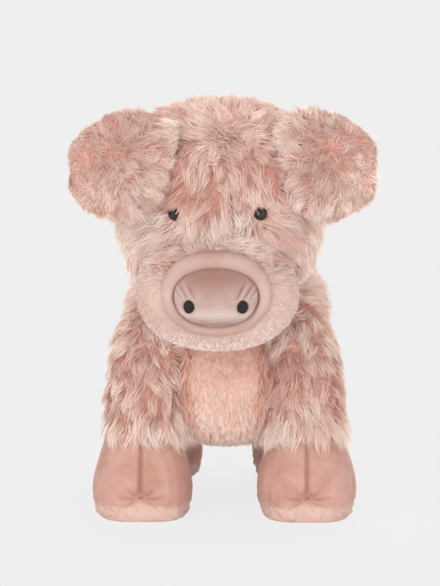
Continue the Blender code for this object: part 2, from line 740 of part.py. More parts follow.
# Ears. Each is rooted in a groove on the front corner of the head, and swings about its root.
EAR_COLUMNS = 4


def ear_root(side, stand_off, shares):
    """The two ends of an ear's root, in the head's own frame."""
    return [
        on_head(head_block, (side * HEAD_WIDTH * out, HEAD_FRONT_Y - OVERRUN, head_z(up)))[0]
        - Vector((0, stand_off, 0))
        for out, up in shares
    ]


def ear_mesh(name, side, length, root_top, root_bottom, front):
    """One panel's inner face: rows from the root out to the tip, bowed forward along the middle."""
    root_line, root_middle = root_bottom - root_top, (root_top + root_bottom) / 2
    bm = bmesh.new()
    rows = []
    for out, above, below, forward in EAR_ROW_SHARES:
        row = []
        for k in range(EAR_COLUMNS + 1):
            down = EAR_HEIGHT * (-above + (above + below) * k / EAR_COLUMNS)
            along_root = root_line * (-down / root_line.z * (1 - out))
            edge = (2 * k / EAR_COLUMNS - 1) ** 2
            row.append(bm.verts.new((
                root_middle.x + along_root.x + side * length * out,
                root_middle.y + along_root.y - EAR_BOW * (forward - edge * out),
                root_middle.z - down,
            )))
        rows.append(row)
    for first, second in zip(rows, rows[1:]):
        for k in range(EAR_COLUMNS):
            bm.faces.new((first[k], first[k + 1], second[k + 1], second[k]))
    bm.normal_update()
    if sum(face.normal.y for face in bm.faces) > 0:
        bmesh.ops.reverse_faces(bm, faces=bm.faces)
    bm.normal_update()
    for vert in bm.verts:
        vert.co += vert.normal * (FILL_GAP if front else -FILL_GAP) / 2
    mesh = bpy.data.meshes.new(name)
    bm.to_mesh(mesh)
    bm.free()
    mesh.shade_smooth()
    return mesh


for name, side, length, stand_off, shares in (
    ("left", 1, LEFT_EAR_LENGTH, LEFT_STAND_OFF, LEFT_ROOT_SHARES),
    ("right", -1, RIGHT_EAR_LENGTH, RIGHT_STAND_OFF, RIGHT_ROOT_SHARES),
):
    root_top, root_bottom = ear_root(side, stand_off, shares)
    root_line, root_middle = root_bottom - root_top, (root_top + root_bottom) / 2
    carrier = carrier_at(f"ear_{name}_root", root_middle)
    carrier.parent = head_turn
    carrier.location = root_middle - head_rest
    for layer, front in (("front", True), ("back", False)):
        mesh = ear_mesh(f"ear_{name}_{layer}", side, length, root_top, root_bottom, front)
        panel = add(f"ear_{name}_{layer}", mesh, FUR, carrier=carrier)
        thick = panel.modifiers.new("Thickness", "SOLIDIFY")
        thick.thickness = EAR_PANEL
        thick.offset = 1 if front else -1
        subdivide(panel)
    start, end = root_top - root_line, root_bottom + root_line
    mesh = rod_mesh(f"ear_{name}_groove", start, end, EAR_PANEL + GAP)
    boolean(head_cover, add(f"ear_{name}_groove", mesh, None, carrier=head_turn, helper=True))
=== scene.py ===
# %% [markdown]
# # A plush pig
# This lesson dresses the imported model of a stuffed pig: long wavy fur over most of it, short pile on
# the muzzle and the chest, and velvet on the snout, the hooves and the tail. Blender's hair isn't a
# mesh, so every lock of fur here is made of thin mesh blades, worked out with numpy.

# %% Load the frame
import math

import bpy
import numpy as np
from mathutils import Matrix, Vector
from mathutils.bvhtree import BVHTree


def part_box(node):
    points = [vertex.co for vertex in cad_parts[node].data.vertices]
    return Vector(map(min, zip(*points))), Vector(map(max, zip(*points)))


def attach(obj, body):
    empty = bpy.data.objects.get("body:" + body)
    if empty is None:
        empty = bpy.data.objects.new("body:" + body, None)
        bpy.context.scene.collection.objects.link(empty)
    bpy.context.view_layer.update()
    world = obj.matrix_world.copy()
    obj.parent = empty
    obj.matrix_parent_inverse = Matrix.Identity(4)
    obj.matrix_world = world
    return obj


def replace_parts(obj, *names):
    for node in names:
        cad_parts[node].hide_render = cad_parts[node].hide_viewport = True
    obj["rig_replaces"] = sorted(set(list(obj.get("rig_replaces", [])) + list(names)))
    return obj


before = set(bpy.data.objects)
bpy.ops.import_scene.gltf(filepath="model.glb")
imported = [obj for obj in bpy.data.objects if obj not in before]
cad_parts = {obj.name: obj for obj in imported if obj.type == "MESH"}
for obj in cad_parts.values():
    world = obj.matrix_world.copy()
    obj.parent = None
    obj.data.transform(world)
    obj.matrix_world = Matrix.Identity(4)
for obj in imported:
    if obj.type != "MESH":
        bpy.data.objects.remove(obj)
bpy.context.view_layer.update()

# %% [markdown]
# ## The view
# The photograph was taken from nearly straight in front, a little above the pig's head, with a long lens.
# Placing the camera by eye is never quite right, so its lens comes from a focal length in the
# photograph's own pixels, set against the picture's height.

# %% The camera
PHOTO_FOCAL = 2075
PHOTO_HEIGHT = 586
SENSOR_HEIGHT = 24
CAMERA_DISTANCE = 1.72
CAMERA_AZIMUTH = math.radians(1.0)
CAMERA_RISE = math.radians(7.0)
AIM = Vector((-0.003, -0.110, 0.197))

camera_data = bpy.data.cameras.new("camera")
camera_data.sensor_fit = "VERTICAL"
camera_data.sensor_height = SENSOR_HEIGHT
camera_data.lens = SENSOR_HEIGHT * PHOTO_FOCAL / PHOTO_HEIGHT
camera = bpy.data.objects.new("camera", camera_data)
outward = Vector((
    math.sin(CAMERA_AZIMUTH) * math.cos(CAMERA_RISE),
    -math.cos(CAMERA_AZIMUTH) * math.cos(CAMERA_RISE),
    math.sin(CAMERA_RISE),
))
camera.location = AIM + outward * CAMERA_DISTANCE
camera.rotation_euler = outward.to_track_quat("Z", "Y").to_euler()
bpy.context.scene.collection.objects.link(camera)
bpy.context.scene.camera = camera
bpy.context.scene.view_settings.view_transform = "Standard"
print("camera at", [round(v, 3) for v in camera.location])

# %% [markdown]
# ## Shader sums
# A finish is worked out from numbers that change over the surface. Math nodes placed one by one are hard
# to read, so this class wraps a shader socket, and a sum can be written the way it is said.


# %% A socket that can be used in sums
class Wire:
    """A shader socket that adds, subtracts and multiplies like a number."""

    def __init__(self, nodes, socket):
        self.nodes, self.socket = nodes, socket

    def maths(self, operation, *values):
        return self.nodes.node("ShaderNodeMath", {"operation": operation}, *values)

    def __add__(self, other):
        return self.maths("ADD", self, other)

    def __sub__(self, other):
        return self.maths("SUBTRACT", self, other)

    def __mul__(self, other):
        return self.maths("MULTIPLY", self, other)

    def __rsub__(self, other):
        return self.maths("SUBTRACT", other, self)

    __radd__ = __add__
    __rmul__ = __mul__

    def within(self, low, high):
        """How far this value has come from low to high, from 0 to 1."""
        settings = {"interpolation_type": "SMOOTHSTEP"}
        return self.nodes.node("ShaderNodeMapRange", settings, self, low, high, 0.0, 1.0)


# %% A tree of nodes
class Nodes:
    """A tree of shader nodes, which are all made by its method node."""

    def __init__(self, tree):
        self.tree = tree

    def feed(self, socket, value):
        """Links a socket to a wire, or sets it to a plain value."""
        if isinstance(value, Wire):
            self.tree.links.new(value.socket, socket)
        else:
            socket.default_value = value

    def node(self, kind, settings=None, *values, out=0, **named):
        """A node of this kind, with its settings, then the values or links of its sockets."""
        made = self.tree.nodes.new(kind)
        for key, value in (settings or {}).items():
            if key == "stops":
                while len(made.color_ramp.elements) < len(value):
                    made.color_ramp.elements.new(1)
                for stop, (place, colour) in zip(made.color_ramp.elements, value):
                    stop.position, stop.color = place, colour
            else:
                setattr(made, key, value)
        for place, value in [*enumerate(values), *named.items()]:
            self.feed(made.inputs[place], value)
        return Wire(self, made.outputs[out])

    def mix(self, share, first, second):
        """A colour between two colours."""
        made = self.node("ShaderNodeMix", {"data_type": "RGBA"}, out=2)
        for place, value in ((0, share), (6, first), (7, second)):
            self.feed(made.socket.node.inputs[place], value)
        return made

    def noise(self, size, detail=3.0, roughness=0.5):
        """Noise whose lumps are about size metres across, at the same place on the piece at any pose."""
        place = self.node("ShaderNodeTexCoord", out="Object")
        sizes = {"Scale": 1 / size, "Detail": detail, "Roughness": roughness}
        return self.node("ShaderNodeTexNoise", None, Vector=place, **sizes)

    def bump(self, height, strength, distance):
        """The normal of a surface that this height raises by up to distance metres."""
        return self.node("ShaderNodeBump", None, Strength=strength, Distance=distance, Height=height)


# %% A material
class Finish(Nodes):
    """A material with one Principled shader."""

    def __init__(self, name):
        self.material = bpy.data.materials.new(name)
        self.material.use_nodes = True
        super().__init__(self.material.node_tree)
        self.shader = self.tree.nodes["Principled BSDF"]

    def set(self, **values):
        """Sets sockets of the shader, named with _ for a space."""
        for key, value in values.items():
            self.feed(self.shader.inputs[key.replace("_", " ")], value)


def shade(red, green, blue):
    """A screen colour, 0 to 255, as the light it stands for."""
    values = [v / 255 for v in (red, green, blue)]
    return (*[v / 12.92 if v <= 0.04045 else ((v + 0.055) / 1.055) ** 2.4 for v in values], 1)


print("mid grey as light:", round(shade(128, 128, 128)[0], 3))

# %% [markdown]
# ## The table
# The pig stands on a pale studio table. A plain pale floor would show every soft shadow of the lamps, so
# to the camera the table mostly glows in its own colour, and keeps a little shadow by the hooves.

# %% The table
PAPER = shade(239, 239, 239)
TABLE_SIZE = 12
SHADOW_KEPT = 0.08
SHADOW_REACH = (0.12, 0.3)

table = Finish("studio_table")
table.set(Base_Color=PAPER, Roughness=0.9)
rays = table.node("ShaderNodeLightPath", out="Is Camera Ray")
glossy = table.node("ShaderNodeLightPath", out="Is Glossy Ray")
through = table.node("ShaderNodeLightPath", out="Is Transmission Ray")
place = table.node("ShaderNodeTexCoord", out="Object")
reach = table.node("ShaderNodeVectorMath", {"operation": "LENGTH"}, place, out="Value")
plain = (rays + glossy + through) * ((1 - SHADOW_KEPT) + SHADOW_KEPT * reach.within(*SHADOW_REACH))
glow = table.node("ShaderNodeEmission", None, PAPER, 1.0)
both = table.node("ShaderNodeMixShader", None, plain, Wire(table, table.shader.outputs[0]), glow)
table.feed(table.tree.nodes["Material Output"].inputs["Surface"], both)

bpy.ops.mesh.primitive_grid_add(x_subdivisions=8, y_subdivisions=8, size=TABLE_SIZE)
floor = bpy.context.object
floor.name = "studio_table"
floor.data.materials.append(table.material)
print("table:", len(floor.data.polygons), "faces")

# %% [markdown]
# ## The world
# The world gives most of the light, faintly warm, as a white room would. It's too weak for a near-white
# background, and more would wash the fur out, so the camera sees a second, paler one.

# %% The world
world = bpy.data.worlds.new("studio")
bpy.context.scene.world = world
world.use_nodes = True
sky = Nodes(world.node_tree)
daylight = sky.tree.nodes["Background"]
sky.feed(daylight.inputs["Color"], (1, 0.98, 0.96, 1))
sky.feed(daylight.inputs["Strength"], 0.64)
seen = sky.node("ShaderNodeBackground", None, PAPER, 1.0)
direct = sky.node("ShaderNodeLightPath", out="Is Camera Ray")
through = sky.node("ShaderNodeLightPath", out="Is Transmission Ray")
either = direct.maths("MAXIMUM", direct, through)
split = sky.node("ShaderNodeMixShader", None, either, Wire(sky, daylight.outputs[0]), seen)
sky.feed(sky.tree.nodes["World Output"].inputs["Surface"], split)
print("world nodes:", len(sky.tree.nodes))

# %% [markdown]
# ## The lamps
# The main lamp is high on the left, a weaker one on the right, one behind rims the fur, a low one reaches
# under the chin, and a small one makes the highlight in the eyes. They are area lamps, because their size
# sets how soft the shadows are.

# %% The lamps
PIG_MIDDLE = Vector((0, 0, 0.18))


def lamp(name, place, size, power):
    """A soft square lamp that faces the pig: its place and size in metres, its power in watts."""
    data = bpy.data.lights.new(name, "AREA")
    data.size, data.energy = size, power
    obj = bpy.data.objects.new(name, data)
    obj.location = place
    obj.rotation_euler = (Vector(place) - PIG_MIDDLE).to_track_quat("Z", "Y").to_euler()
    bpy.context.scene.collection.objects.link(obj)


lamp("key_lamp", (-1.1, -1.3, 1.5), 0.9, 10)
lamp("fill_lamp", (1.6, -1.2, 0.8), 1.6, 5)
lamp("low_lamp", (0.0, -1.9, 0.33), 0.9, 14.5)
lamp("glint_lamp", (-1.3, -1.3, 0.12), 0.12, 1.3)
lamp("back_lamp", (0.3, 1.6, 1.4), 1.2, 24)

# %% [markdown]
# ## Fur colours
# Fur is darker at the root and pale at the tip, and no two locks are quite the same shade. Instead of a
# painted texture, each blade lies on a strip of the "OFBake" map, which the finish reads: across is the
# shade of its lock, and up is the way from root to tip.

# %% Fur finishes
SHADES = 48
MIDDLE_STOP = 0.45


def fur_finish(name, root, middle, tip, spread=0.4):
    """Fur in three colours along the blade. A lock leans by up to spread to its root's or its tip's."""
    made = Finish(name)
    where = made.node("ShaderNodeUVMap", {"uv_map": "OFBake"})
    lock = made.node("ShaderNodeSeparateXYZ", None, where, out=0)
    along = made.node("ShaderNodeSeparateXYZ", None, where, out=1)
    stops = [(0.0, root), (MIDDLE_STOP, middle), (1.0, tip)]
    colour = made.node("ShaderNodeValToRGB", {"stops": stops}, along)
    colour = made.mix(lock, made.mix(spread, colour, root), made.mix(spread, colour, tip))
    made.set(Base_Color=colour, Roughness=0.75, Sheen_Weight=0.25, Sheen_Roughness=0.4)
    made.set(Specular_IOR_Level=0.25)
    return made.material


long_fur = fur_finish("long_fur", shade(194, 129, 113), shade(247, 204, 188), shade(255, 242, 231), 0.5)
under_fur = fur_finish("under_fur", shade(192, 136, 121), shade(222, 176, 160), shade(244, 212, 198))
brow_fur = fur_finish("brow_fur", shade(204, 144, 129), shade(250, 220, 207), shade(255, 244, 236), 0.5)
ear_fur = fur_finish("ear_fur", shade(188, 132, 118), shade(240, 204, 189), shade(255, 242, 232), 0.5)
hem_fur = fur_finish("hem_fur", shade(220, 164, 146), shade(254, 230, 215), shade(255, 249, 241))
muzzle_pile = fur_finish(
    "muzzle_pile", shade(198, 160, 148), shade(224, 199, 188), shade(250, 237, 230), 0.55
)
chest_pile = fur_finish("chest_pile", shade(226, 176, 159), shade(250, 220, 206), shade(255, 244, 235))
side_pile = fur_finish("side_pile", shade(232, 160, 140), shade(255, 206, 188), shade(255, 226, 211))
print("furs:", [m.name for m in bpy.data.materials if m.name.endswith(("fur", "pile"))])

# %% [markdown]
# ## Velvet and cloth
# Velvet is a very short pile that looks lighter or darker where a hand has brushed it. Hair that short
# would be millions of faces, so patches of nap, a fine grain and a sheen do it. A shading attribute holds
# painted shade, darker in folds and creases, and painted highlights, paler on bulges. The cloth under the
# fur is finished the same way.

# %% Velvet finishes
NAP_SIZE, NAP_CHANGE = 0.022, 0.25
GRAIN_SIZE, GRAIN_CHANGE, GRAIN_HEIGHT = 0.0006, 0.12, 0.0004
RIM_HIGHLIGHT_SHARE, RIM_WANDER = 0.75, 0.007
# Painted shade in folds, mixed towards a shadow colour, and painted highlights on bulges
FOLD_SHADOW, SHADE_SHARE, HIGHLIGHT_SHARE = shade(120, 66, 54), 0.35, 0.6


def velvet_finish(name, colour, dark, pale, highlight_rim=None):
    """Velvet, with a painted highlight, a paler rim, below a height where one is given as its (low, high)."""
    made = Finish(name)
    patches = made.noise(NAP_SIZE, 3.0, 0.55).within(0.3, 0.7)
    colour = made.mix(patches, made.mix(NAP_CHANGE, colour, dark), made.mix(NAP_CHANGE, colour, pale))
    # Painted highlight: below the given height the rim is painted paler, with a wandering edge
    if highlight_rim:
        place = made.node("ShaderNodeTexCoord", out="Object")
        height = made.node("ShaderNodeSeparateXYZ", None, place, out=2)
        height = height - RIM_WANDER * made.noise(0.012, 2.0) + RIM_WANDER / 2
        colour = made.mix(RIM_HIGHLIGHT_SHARE * (1 - height.within(*highlight_rim)), colour, pale)
    grain = made.noise(GRAIN_SIZE, 2.0, 0.7)
    colour = made.mix(grain.within(0.35, 0.7), made.mix(GRAIN_CHANGE, colour, dark), colour)
    # Painted shade where the shading attribute is above 0, and a painted highlight where it is below 0
    fold = made.node("ShaderNodeAttribute", {"attribute_name": "fold"}, out="Fac")
    colour = made.mix(fold.within(0.0, 1.0), colour, made.mix(SHADE_SHARE, dark, FOLD_SHADOW))
    colour = made.mix(HIGHLIGHT_SHARE * (0 - fold).within(0.0, 1.0), colour, pale)
    made.set(Base_Color=colour, Roughness=0.85, Sheen_Weight=0.25, Sheen_Roughness=0.35)
    made.set(Specular_IOR_Level=0.2, Normal=made.bump(grain, 0.35, GRAIN_HEIGHT))
    return made.material


snout_velvet = velvet_finish("snout_velvet", shade(188, 155, 145), shade(168, 129, 118), shade(214, 188, 179))
pad_velvet = velvet_finish("pad_velvet", shade(178, 150, 141), shade(158, 122, 112), shade(208, 190, 183))
hoof_velvet = velvet_finish(
    "hoof_velvet", shade(198, 151, 137), shade(174, 122, 107), shade(220, 189, 178), highlight_rim=(0.009, 0.017)
)
sole_velvet = velvet_finish("sole_velvet", shade(214, 181, 169), shade(196, 153, 140), shade(226, 197, 186))
skin_cloth = velvet_finish("skin_cloth", shade(204, 150, 135), shade(184, 128, 113), shade(216, 168, 153))
muzzle_cloth = velvet_finish("muzzle_cloth", shade(208, 175, 164), shade(190, 148, 136), shade(230, 205, 196))
chest_cloth = velvet_finish("chest_cloth", shade(230, 188, 172), shade(212, 160, 142), shade(242, 208, 194))
print("velvets:", [m.name for m in bpy.data.materials if m.name.endswith(("velvet", "cloth"))])

# %% [markdown]
# ## Filling, thread and plastic
# Loose polyester fibre shows only where a seam gapes, so noise stands for its tangle. The nostrils are
# satin stitch, which a banded wave draws. The eyes and washers are moulded plastic with the faintest
# wear, and the eyes have a clear gloss.


# %% Filling, thread and plastic
def filling_finish(name):
    """Loose polyester fibre: white, with fine tangled threads."""
    made = Finish(name)
    tangle = made.noise(0.002, 6.0, 0.75)
    colour = made.mix(tangle.within(0.3, 0.7), shade(214, 212, 206), shade(244, 243, 238))
    made.set(Base_Color=colour, Roughness=0.95, Sheen_Weight=0.3, Normal=made.bump(tangle, 0.8, 0.001))
    return made.material


def thread_finish(name):
    """Satin stitch: dark thread laid side by side."""
    made = Finish(name)
    place = made.node("ShaderNodeTexCoord", out="Object")
    settings = {"wave_type": "BANDS", "bands_direction": "DIAGONAL"}
    sizes = {"Scale": 400.0, "Distortion": 1.5, "Detail": 1.0}
    rows = made.node("ShaderNodeTexWave", settings, Vector=place, out=1, **sizes)
    colour = made.mix(rows, shade(16, 11, 12), shade(40, 30, 32))
    made.set(Base_Color=colour, Roughness=0.6, Specular_IOR_Level=0.3, Normal=made.bump(rows, 0.6, 0.0003))
    return made.material


def plastic_finish(name, colour, roughness, gloss):
    """Moulded plastic with the faintest wear."""
    made = Finish(name)
    wear = made.noise(0.001, 3.0).within(0.4, 0.75)
    made.set(Base_Color=made.mix(wear, colour, made.mix(0.06, colour, shade(150, 130, 128))))
    made.set(Roughness=roughness + 0.05 * wear, Specular_IOR_Level=0.3, Coat_Weight=gloss)
    return made.material


filling = filling_finish("filling")
stitch = thread_finish("satin_stitch")
eye_plastic = plastic_finish("eye_black", shade(14, 9, 9), 0.12, gloss=0.7)
washer_plastic = plastic_finish("washer_white", shade(225, 223, 216), 0.45, gloss=0.0)
print("finishes:", len(bpy.data.materials))

# %% [markdown]
# ## Cloth under the fur
# Each cover is a sewn cloth bag without corners. A cloth simulation could blow it up, but might leave the
# place that its solid holds. So each starts as a copy of its solid, remeshed evenly and smoothed until
# the facets melt away, which also gives it enough points to be creased.


# %% Points of a mesh
def vertex_rows(mesh, kind="co"):
    """x, y and z of each vertex: its place, or with "normal" the way it faces."""
    rows = np.empty(len(mesh.vertices) * 3, np.float32)
    mesh.vertices.foreach_get(kind, rows)
    return rows.reshape(-1, 3).astype(float)


def move_points(obj, points):
    obj.data.vertices.foreach_set("co", points.astype(np.float32).ravel())
    obj.data.update()


def paint_shading(obj, fold):
    """Painted shading at each point: painted shade in a fold, from 0 to 1,
    or a painted highlight where it bulges, down to -1.
    """
    layer = obj.data.attributes.new("fold", "FLOAT", "POINT")
    layer.data.foreach_set("value", np.clip(fold, -1, 1).astype(np.float32))


def surface_tree(mesh):
    """A tree that finds the nearest point of a mesh, or the first one along a ray."""
    return BVHTree.FromPolygons([v.co for v in mesh.vertices], [list(f.vertices) for f in mesh.polygons])


# %% A cover from its solid
LINING = 0.0015
LINING_REACH = 0.00125


def line_shell(mesh, core, lining):
    """Draws the inner face of a cover into its stuffing, so that no place is too thin to be remeshed."""
    tree = surface_tree(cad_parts[core].data)
    for vert in mesh.vertices:
        _, normal, _, away = tree.find_nearest(vert.co)
        if away < LINING_REACH:
            vert.co -= normal * lining


def cover(name, node, body, finish, voxel=0.004, rounds=6, puff=0.0, core=None, lining=LINING):
    """An evenly meshed, smoothed copy of a solid, which it replaces, pushed out by puff."""
    obj = bpy.data.objects.new(name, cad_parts[node].data.copy())
    if core:
        line_shell(obj.data, core, lining)
    bpy.context.scene.collection.objects.link(obj)
    remesh = obj.modifiers.new("Remesh", "REMESH")
    remesh.mode, remesh.voxel_size, remesh.use_smooth_shade = "VOXEL", voxel, True
    smooth = obj.modifiers.new("Smooth", "SMOOTH")
    smooth.factor, smooth.iterations = 0.5, rounds
    graph = bpy.context.evaluated_depsgraph_get()
    mesh = bpy.data.meshes.new_from_object(obj.evaluated_get(graph))
    obj.modifiers.clear()
    obj.data = mesh
    mesh.materials.clear()
    mesh.materials.append(finish)
    if puff:
        move_points(obj, vertex_rows(mesh) + puff * vertex_rows(mesh, "normal"))
    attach(obj, body)
    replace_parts(obj, node)
    return obj


# %% The skins that carry fur
LEGS = ("front_left", "front_right", "hind_left", "hind_right")
SIDES = ("left", "right")
skins = {}


def skin(key, name, node, body, finish, **shape):
    """A cover that fur will grow on, kept with its body and its solid's name."""
    skins[key] = cover(name, node, body, finish, **shape), body, node


skin("body", "body_skin", "body_cover", "torso", skin_cloth, voxel=0.003)
skin("belly", "belly_skin", "belly_panel", "torso", chest_cloth, voxel=0.003)
skin("head", "head_skin", "head_cover", "head", skin_cloth, voxel=0.0025, rounds=8, core="head_stuffing")
skin("muzzle", "muzzle_skin", "muzzle_cover", "head", muzzle_cloth, voxel=0.002, rounds=8)
skin("neck", "neck_skin", "neck_stuffing", "neck", skin_cloth, voxel=0.003)
for leg in LEGS:
    skin(leg, leg + "_sleeve", f"leg_{leg}_sleeve", "leg_" + leg, skin_cloth)
for side in SIDES:
    for layer in ("front", "back"):
        key = f"ear_{side}_{layer}"
        skin(key, key + "_skin", key, "ear_" + side, skin_cloth, voxel=0.0025)
print("covers:", {key: len(obj.data.polygons) for key, (obj, _, _) in skins.items()})

# %% [markdown]
# ## The chest
# The stuffing bulges in two soft rolls, under the chin and at the belly. A sculpting brush could raise
# them. Two smooth bells over the height do the same, and can be read and changed.


# %% Soft rolls of the chest
def bell(offset, width):
    """1 in the middle, falling smoothly to 0 a few widths away."""
    return np.exp(-((offset / width) ** 2))


# How far each roll swells, its height on the pig and how tall it is
CHEST_ROLLS = ((0.0030, 0.120, 0.013), (0.0040, 0.070, 0.014))

panel = skins["belly"][0]
points, normals = vertex_rows(panel.data), vertex_rows(panel.data, "normal")
swell = sum(out * bell(points[:, 2] - z, tall) for out, z, tall in CHEST_ROLLS)
move_points(panel, points + normals * (swell * (points[:, 1] < 0))[:, None])
print("chest swells by up to", round(swell.max(), 4))

# %% [markdown]
# ## The filling
# Every bag is stuffed with fibre. It shows only where a seam gapes at a joint's limit, so it's drawn in a
# little from the cover, and further in the legs, to make room for the tucks.

# %% The filling inside
LEG_FILL_PUFF = -0.006
FILL_PUFF = -2 * LINING
FILLINGS = {"body_stuffing": "torso", "head_stuffing": "head", "muzzle_stuffing": "head"}
FILLINGS.update({f"leg_{leg}_stuffing": "leg_" + leg for leg in LEGS})
for node, body in FILLINGS.items():
    puff = LEG_FILL_PUFF if node.startswith("leg") else FILL_PUFF
    cover(node.replace("stuffing", "fill"), node, body, filling, voxel=0.005, rounds=4, puff=puff)
print("fillings:", len(FILLINGS))

# %% [markdown]
# ## Hooves
# Each hoof is a velvet boot. A seam runs down its front to a stitched tuck, where the cloth is drawn in
# and creases fan out, so it looks like two toes. Bump would leave the outline smooth, so the mesh itself
# is moved: each crease is a soft groove, and smooth random waves crumple the rim.


# %% Grooves and waves
def groove(offset, width, depth):
    """The depth of a soft crease, from how far each point lies beside it."""
    return -depth * bell(offset, width)


def ramp(values, start, length):
    """From 0 at start to 1 once values are length further on. With a length below 0, further down."""
    return np.clip((values - start) / length, 0, 1)


def drift(points, size, seed, waves=6):
    """A smooth random number at each point, about -1 to 1, which changes over about size metres."""
    draw = np.random.default_rng(seed)
    turns = draw.normal(size=(3, waves)) * 3 / size
    return np.sin(points @ turns + draw.random(waves) * 6.3).sum(1) / math.sqrt(waves)


# %% Creases that fan out from the tuck
# The direction of each crease in degrees, and how far it reaches
TUCK_CREASES = (
    (171, 0.024), (136, 0.028), (112, 0.015), (66, 0.015), (43, 0.026), (9, 0.026), (205, 0.02), (-25, 0.02),
)
CREASE_WIDTH, CREASE_OPENING, CREASE_DEPTH = 0.0014, 0.05, 0.0030
CREASE_START, CREASE_FADE_SHARE = 0.003, 0.7
SHEEN_BESIDE = 0.0026


def fan_creases(x, rise, front, move, fold):
    """Adds the creases round the tuck to how far each point moves.
    Each crease gets painted shade, and a painted sheen just beside it.
    """
    for angle, reach in TUCK_CREASES:
        turn = math.radians(angle)
        along = x * math.cos(turn) + rise * math.sin(turn)
        beside = -x * math.sin(turn) + rise * math.cos(turn)
        fade = ramp(along, 0, CREASE_START) * ramp(along, reach, -reach * CREASE_FADE_SHARE)
        width = CREASE_WIDTH + CREASE_OPENING * np.clip(along, 0, reach)
        move += groove(beside, width, CREASE_DEPTH) * fade * front
        # Painted shade in the crease, and a painted sheen just beside it
        fold -= 0.5 * groove(beside, 0.0010, 1) * fade * front
        fold += 0.3 * groove(beside - SHEEN_BESIDE, 0.0012, 1) * fade * front


# %% A hoof and its sole
TUCK_Z = 0.0175
TUCK_WIDTH, TUCK_DEPTH = 0.0085, 0.0055
SEAM_WIDTH, SEAM_DEPTH, SEAM_DEEPER, DEEPER_NEAR = 0.0017, 0.0028, 0.0012, 0.016
LIP_OUT, LIP_WIDTH, LIP_SWELL = 0.0042, 0.002, 0.0009
CRUMPLE_TOP, CRUMPLE_FADE, CRUMPLE = 0.019, 0.006, 0.0008
RIM_TOP, RIM_FADE, RIM_DROP = 0.011, 0.005, 0.0024
BOOT_LOWEST, MOST_INWARD = 0.0006, -0.0068


def hoof(leg):
    boot = cover("hoof_boot_" + leg, "hoof_" + leg, "leg_" + leg, hoof_velvet, voxel=0.0011, rounds=10,
                 core=f"leg_{leg}_stuffing", lining=0.004)
    low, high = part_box("hoof_" + leg)
    points, normals = vertex_rows(boot.data), vertex_rows(boot.data, "normal")
    x, z = points[:, 0] - (low.x + high.x) / 2, points[:, 2]
    front = ramp(points[:, 1], (low.y + high.y) / 2, -0.03) * (normals[:, 1] < 0.3)
    rise = z - TUCK_Z
    away = np.hypot(x, rise)
    seam = groove(x, SEAM_WIDTH, 1) * ramp(rise, 0, 0.001) * front
    # Painted shade along the seam, and a painted highlight on the band below the tuck
    fold = -0.55 * seam - 0.9 * np.exp(-(((rise + 0.008) / 0.006) ** 2) - (x / 0.03) ** 2) * front
    move = seam * (SEAM_DEPTH + SEAM_DEEPER * bell(away, DEEPER_NEAR))
    move += LIP_SWELL * bell(np.abs(x) - LIP_OUT, LIP_WIDTH) * ramp(rise, 0, 0.004) * front
    move += groove(away, TUCK_WIDTH, TUCK_DEPTH) * front
    move += 0.0009 * drift(points, 0.02, 3) * np.clip(1 - z / 0.05, 0, 1)
    move += CRUMPLE * drift(points, 0.006, 4) * ramp(z, CRUMPLE_TOP, -CRUMPLE_FADE)
    fan_creases(x, rise, front, move, fold)
    paint_shading(boot, fold)
    points[:, 2] = np.maximum(z - RIM_DROP * ramp(z, RIM_TOP, -RIM_FADE), BOOT_LOWEST)
    points += normals * np.maximum(move, MOST_INWARD)[:, None]
    points[:, 2] = np.maximum(points[:, 2], BOOT_LOWEST)
    move_points(boot, points)


def sole(leg):
    """The sole, puffed to close the slit below the rim, and flat where it meets the floor."""
    base = cover("hoof_sole_" + leg, "sole_" + leg, "leg_" + leg, sole_velvet, voxel=0.0012, rounds=2, puff=0.0011)
    points = vertex_rows(base.data)
    points[:, 2] = np.maximum(points[:, 2], 0)
    move_points(base, points)


for leg in LEGS:
    hoof(leg)
    sole(leg)
print("hooves:", len(LEGS))

# %% [markdown]
# ## The muzzle
# The muzzle is a cup of short-pile cloth, gathered where it's sewn to the snout. Its few wrinkles are
# grooves again, along rays from the snout's middle.

# %% Wrinkles round the snout
SNOUT = np.array([-0.005, -0.175, 0.203])
SNOUT_WIDE_SHARE = 1.25
# The direction of each wrinkle in degrees, and how far it reaches
WRINKLES = ((36, 0.016), (24, 0.020), (12, 0.016), (152, 0.012), (166, 0.010))
WRINKLE_START, WRINKLE_EDGE, WRINKLE_FADE = 0.040, 0.046, 0.008
WRINKLE_WIDTH, WRINKLE_DEPTH = 0.0016, 0.0022

cup = skins["muzzle"][0]
points, normals = vertex_rows(cup.data), vertex_rows(cup.data, "normal")
x, z = points[:, 0] - SNOUT[0], (points[:, 2] - SNOUT[2]) * SNOUT_WIDE_SHARE
around, away = np.arctan2(z, x), np.hypot(x, z)
move = np.zeros(len(points))
for angle, reach in WRINKLES:
    off = around - math.radians(angle)
    fade = ramp(away, WRINKLE_START, 0.004) * ramp(away, WRINKLE_EDGE + reach, -WRINKLE_FADE)
    fade *= np.cos(off) > 0
    move += groove(away * np.sin(off), WRINKLE_WIDTH, WRINKLE_DEPTH) * fade * (points[:, 1] < -0.12)
move_points(cup, points + normals * move[:, None])
print("deepest wrinkle:", round(-move.min(), 4))

# %% [markdown]
# ## The snout's roll
# The roll is a stuffed tube of velvet, sewn into a ring. Its solid has the right form and only needs to
# be soft. It is painted darker on top, painted shade, and paler at the sides, painted light, which its
# shading attribute says.

# %% The roll
snout_roll = cover("snout_ring", "snout_roll", "head", snout_velvet, voxel=0.0014, rounds=8, puff=0.0003)
low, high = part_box("snout_roll")
up = (vertex_rows(snout_roll.data)[:, 2] - (low.z + high.z) / 2) / ((high.z - low.z) / 2)
# Painted shade on top of the roll, and painted light at its sides
paint_shading(snout_roll, 0.5 * np.clip(up, 0, 1) ** 2 - 0.6 * (1 - np.abs(up)))
print("roll:", len(snout_roll.data.polygons), "faces")
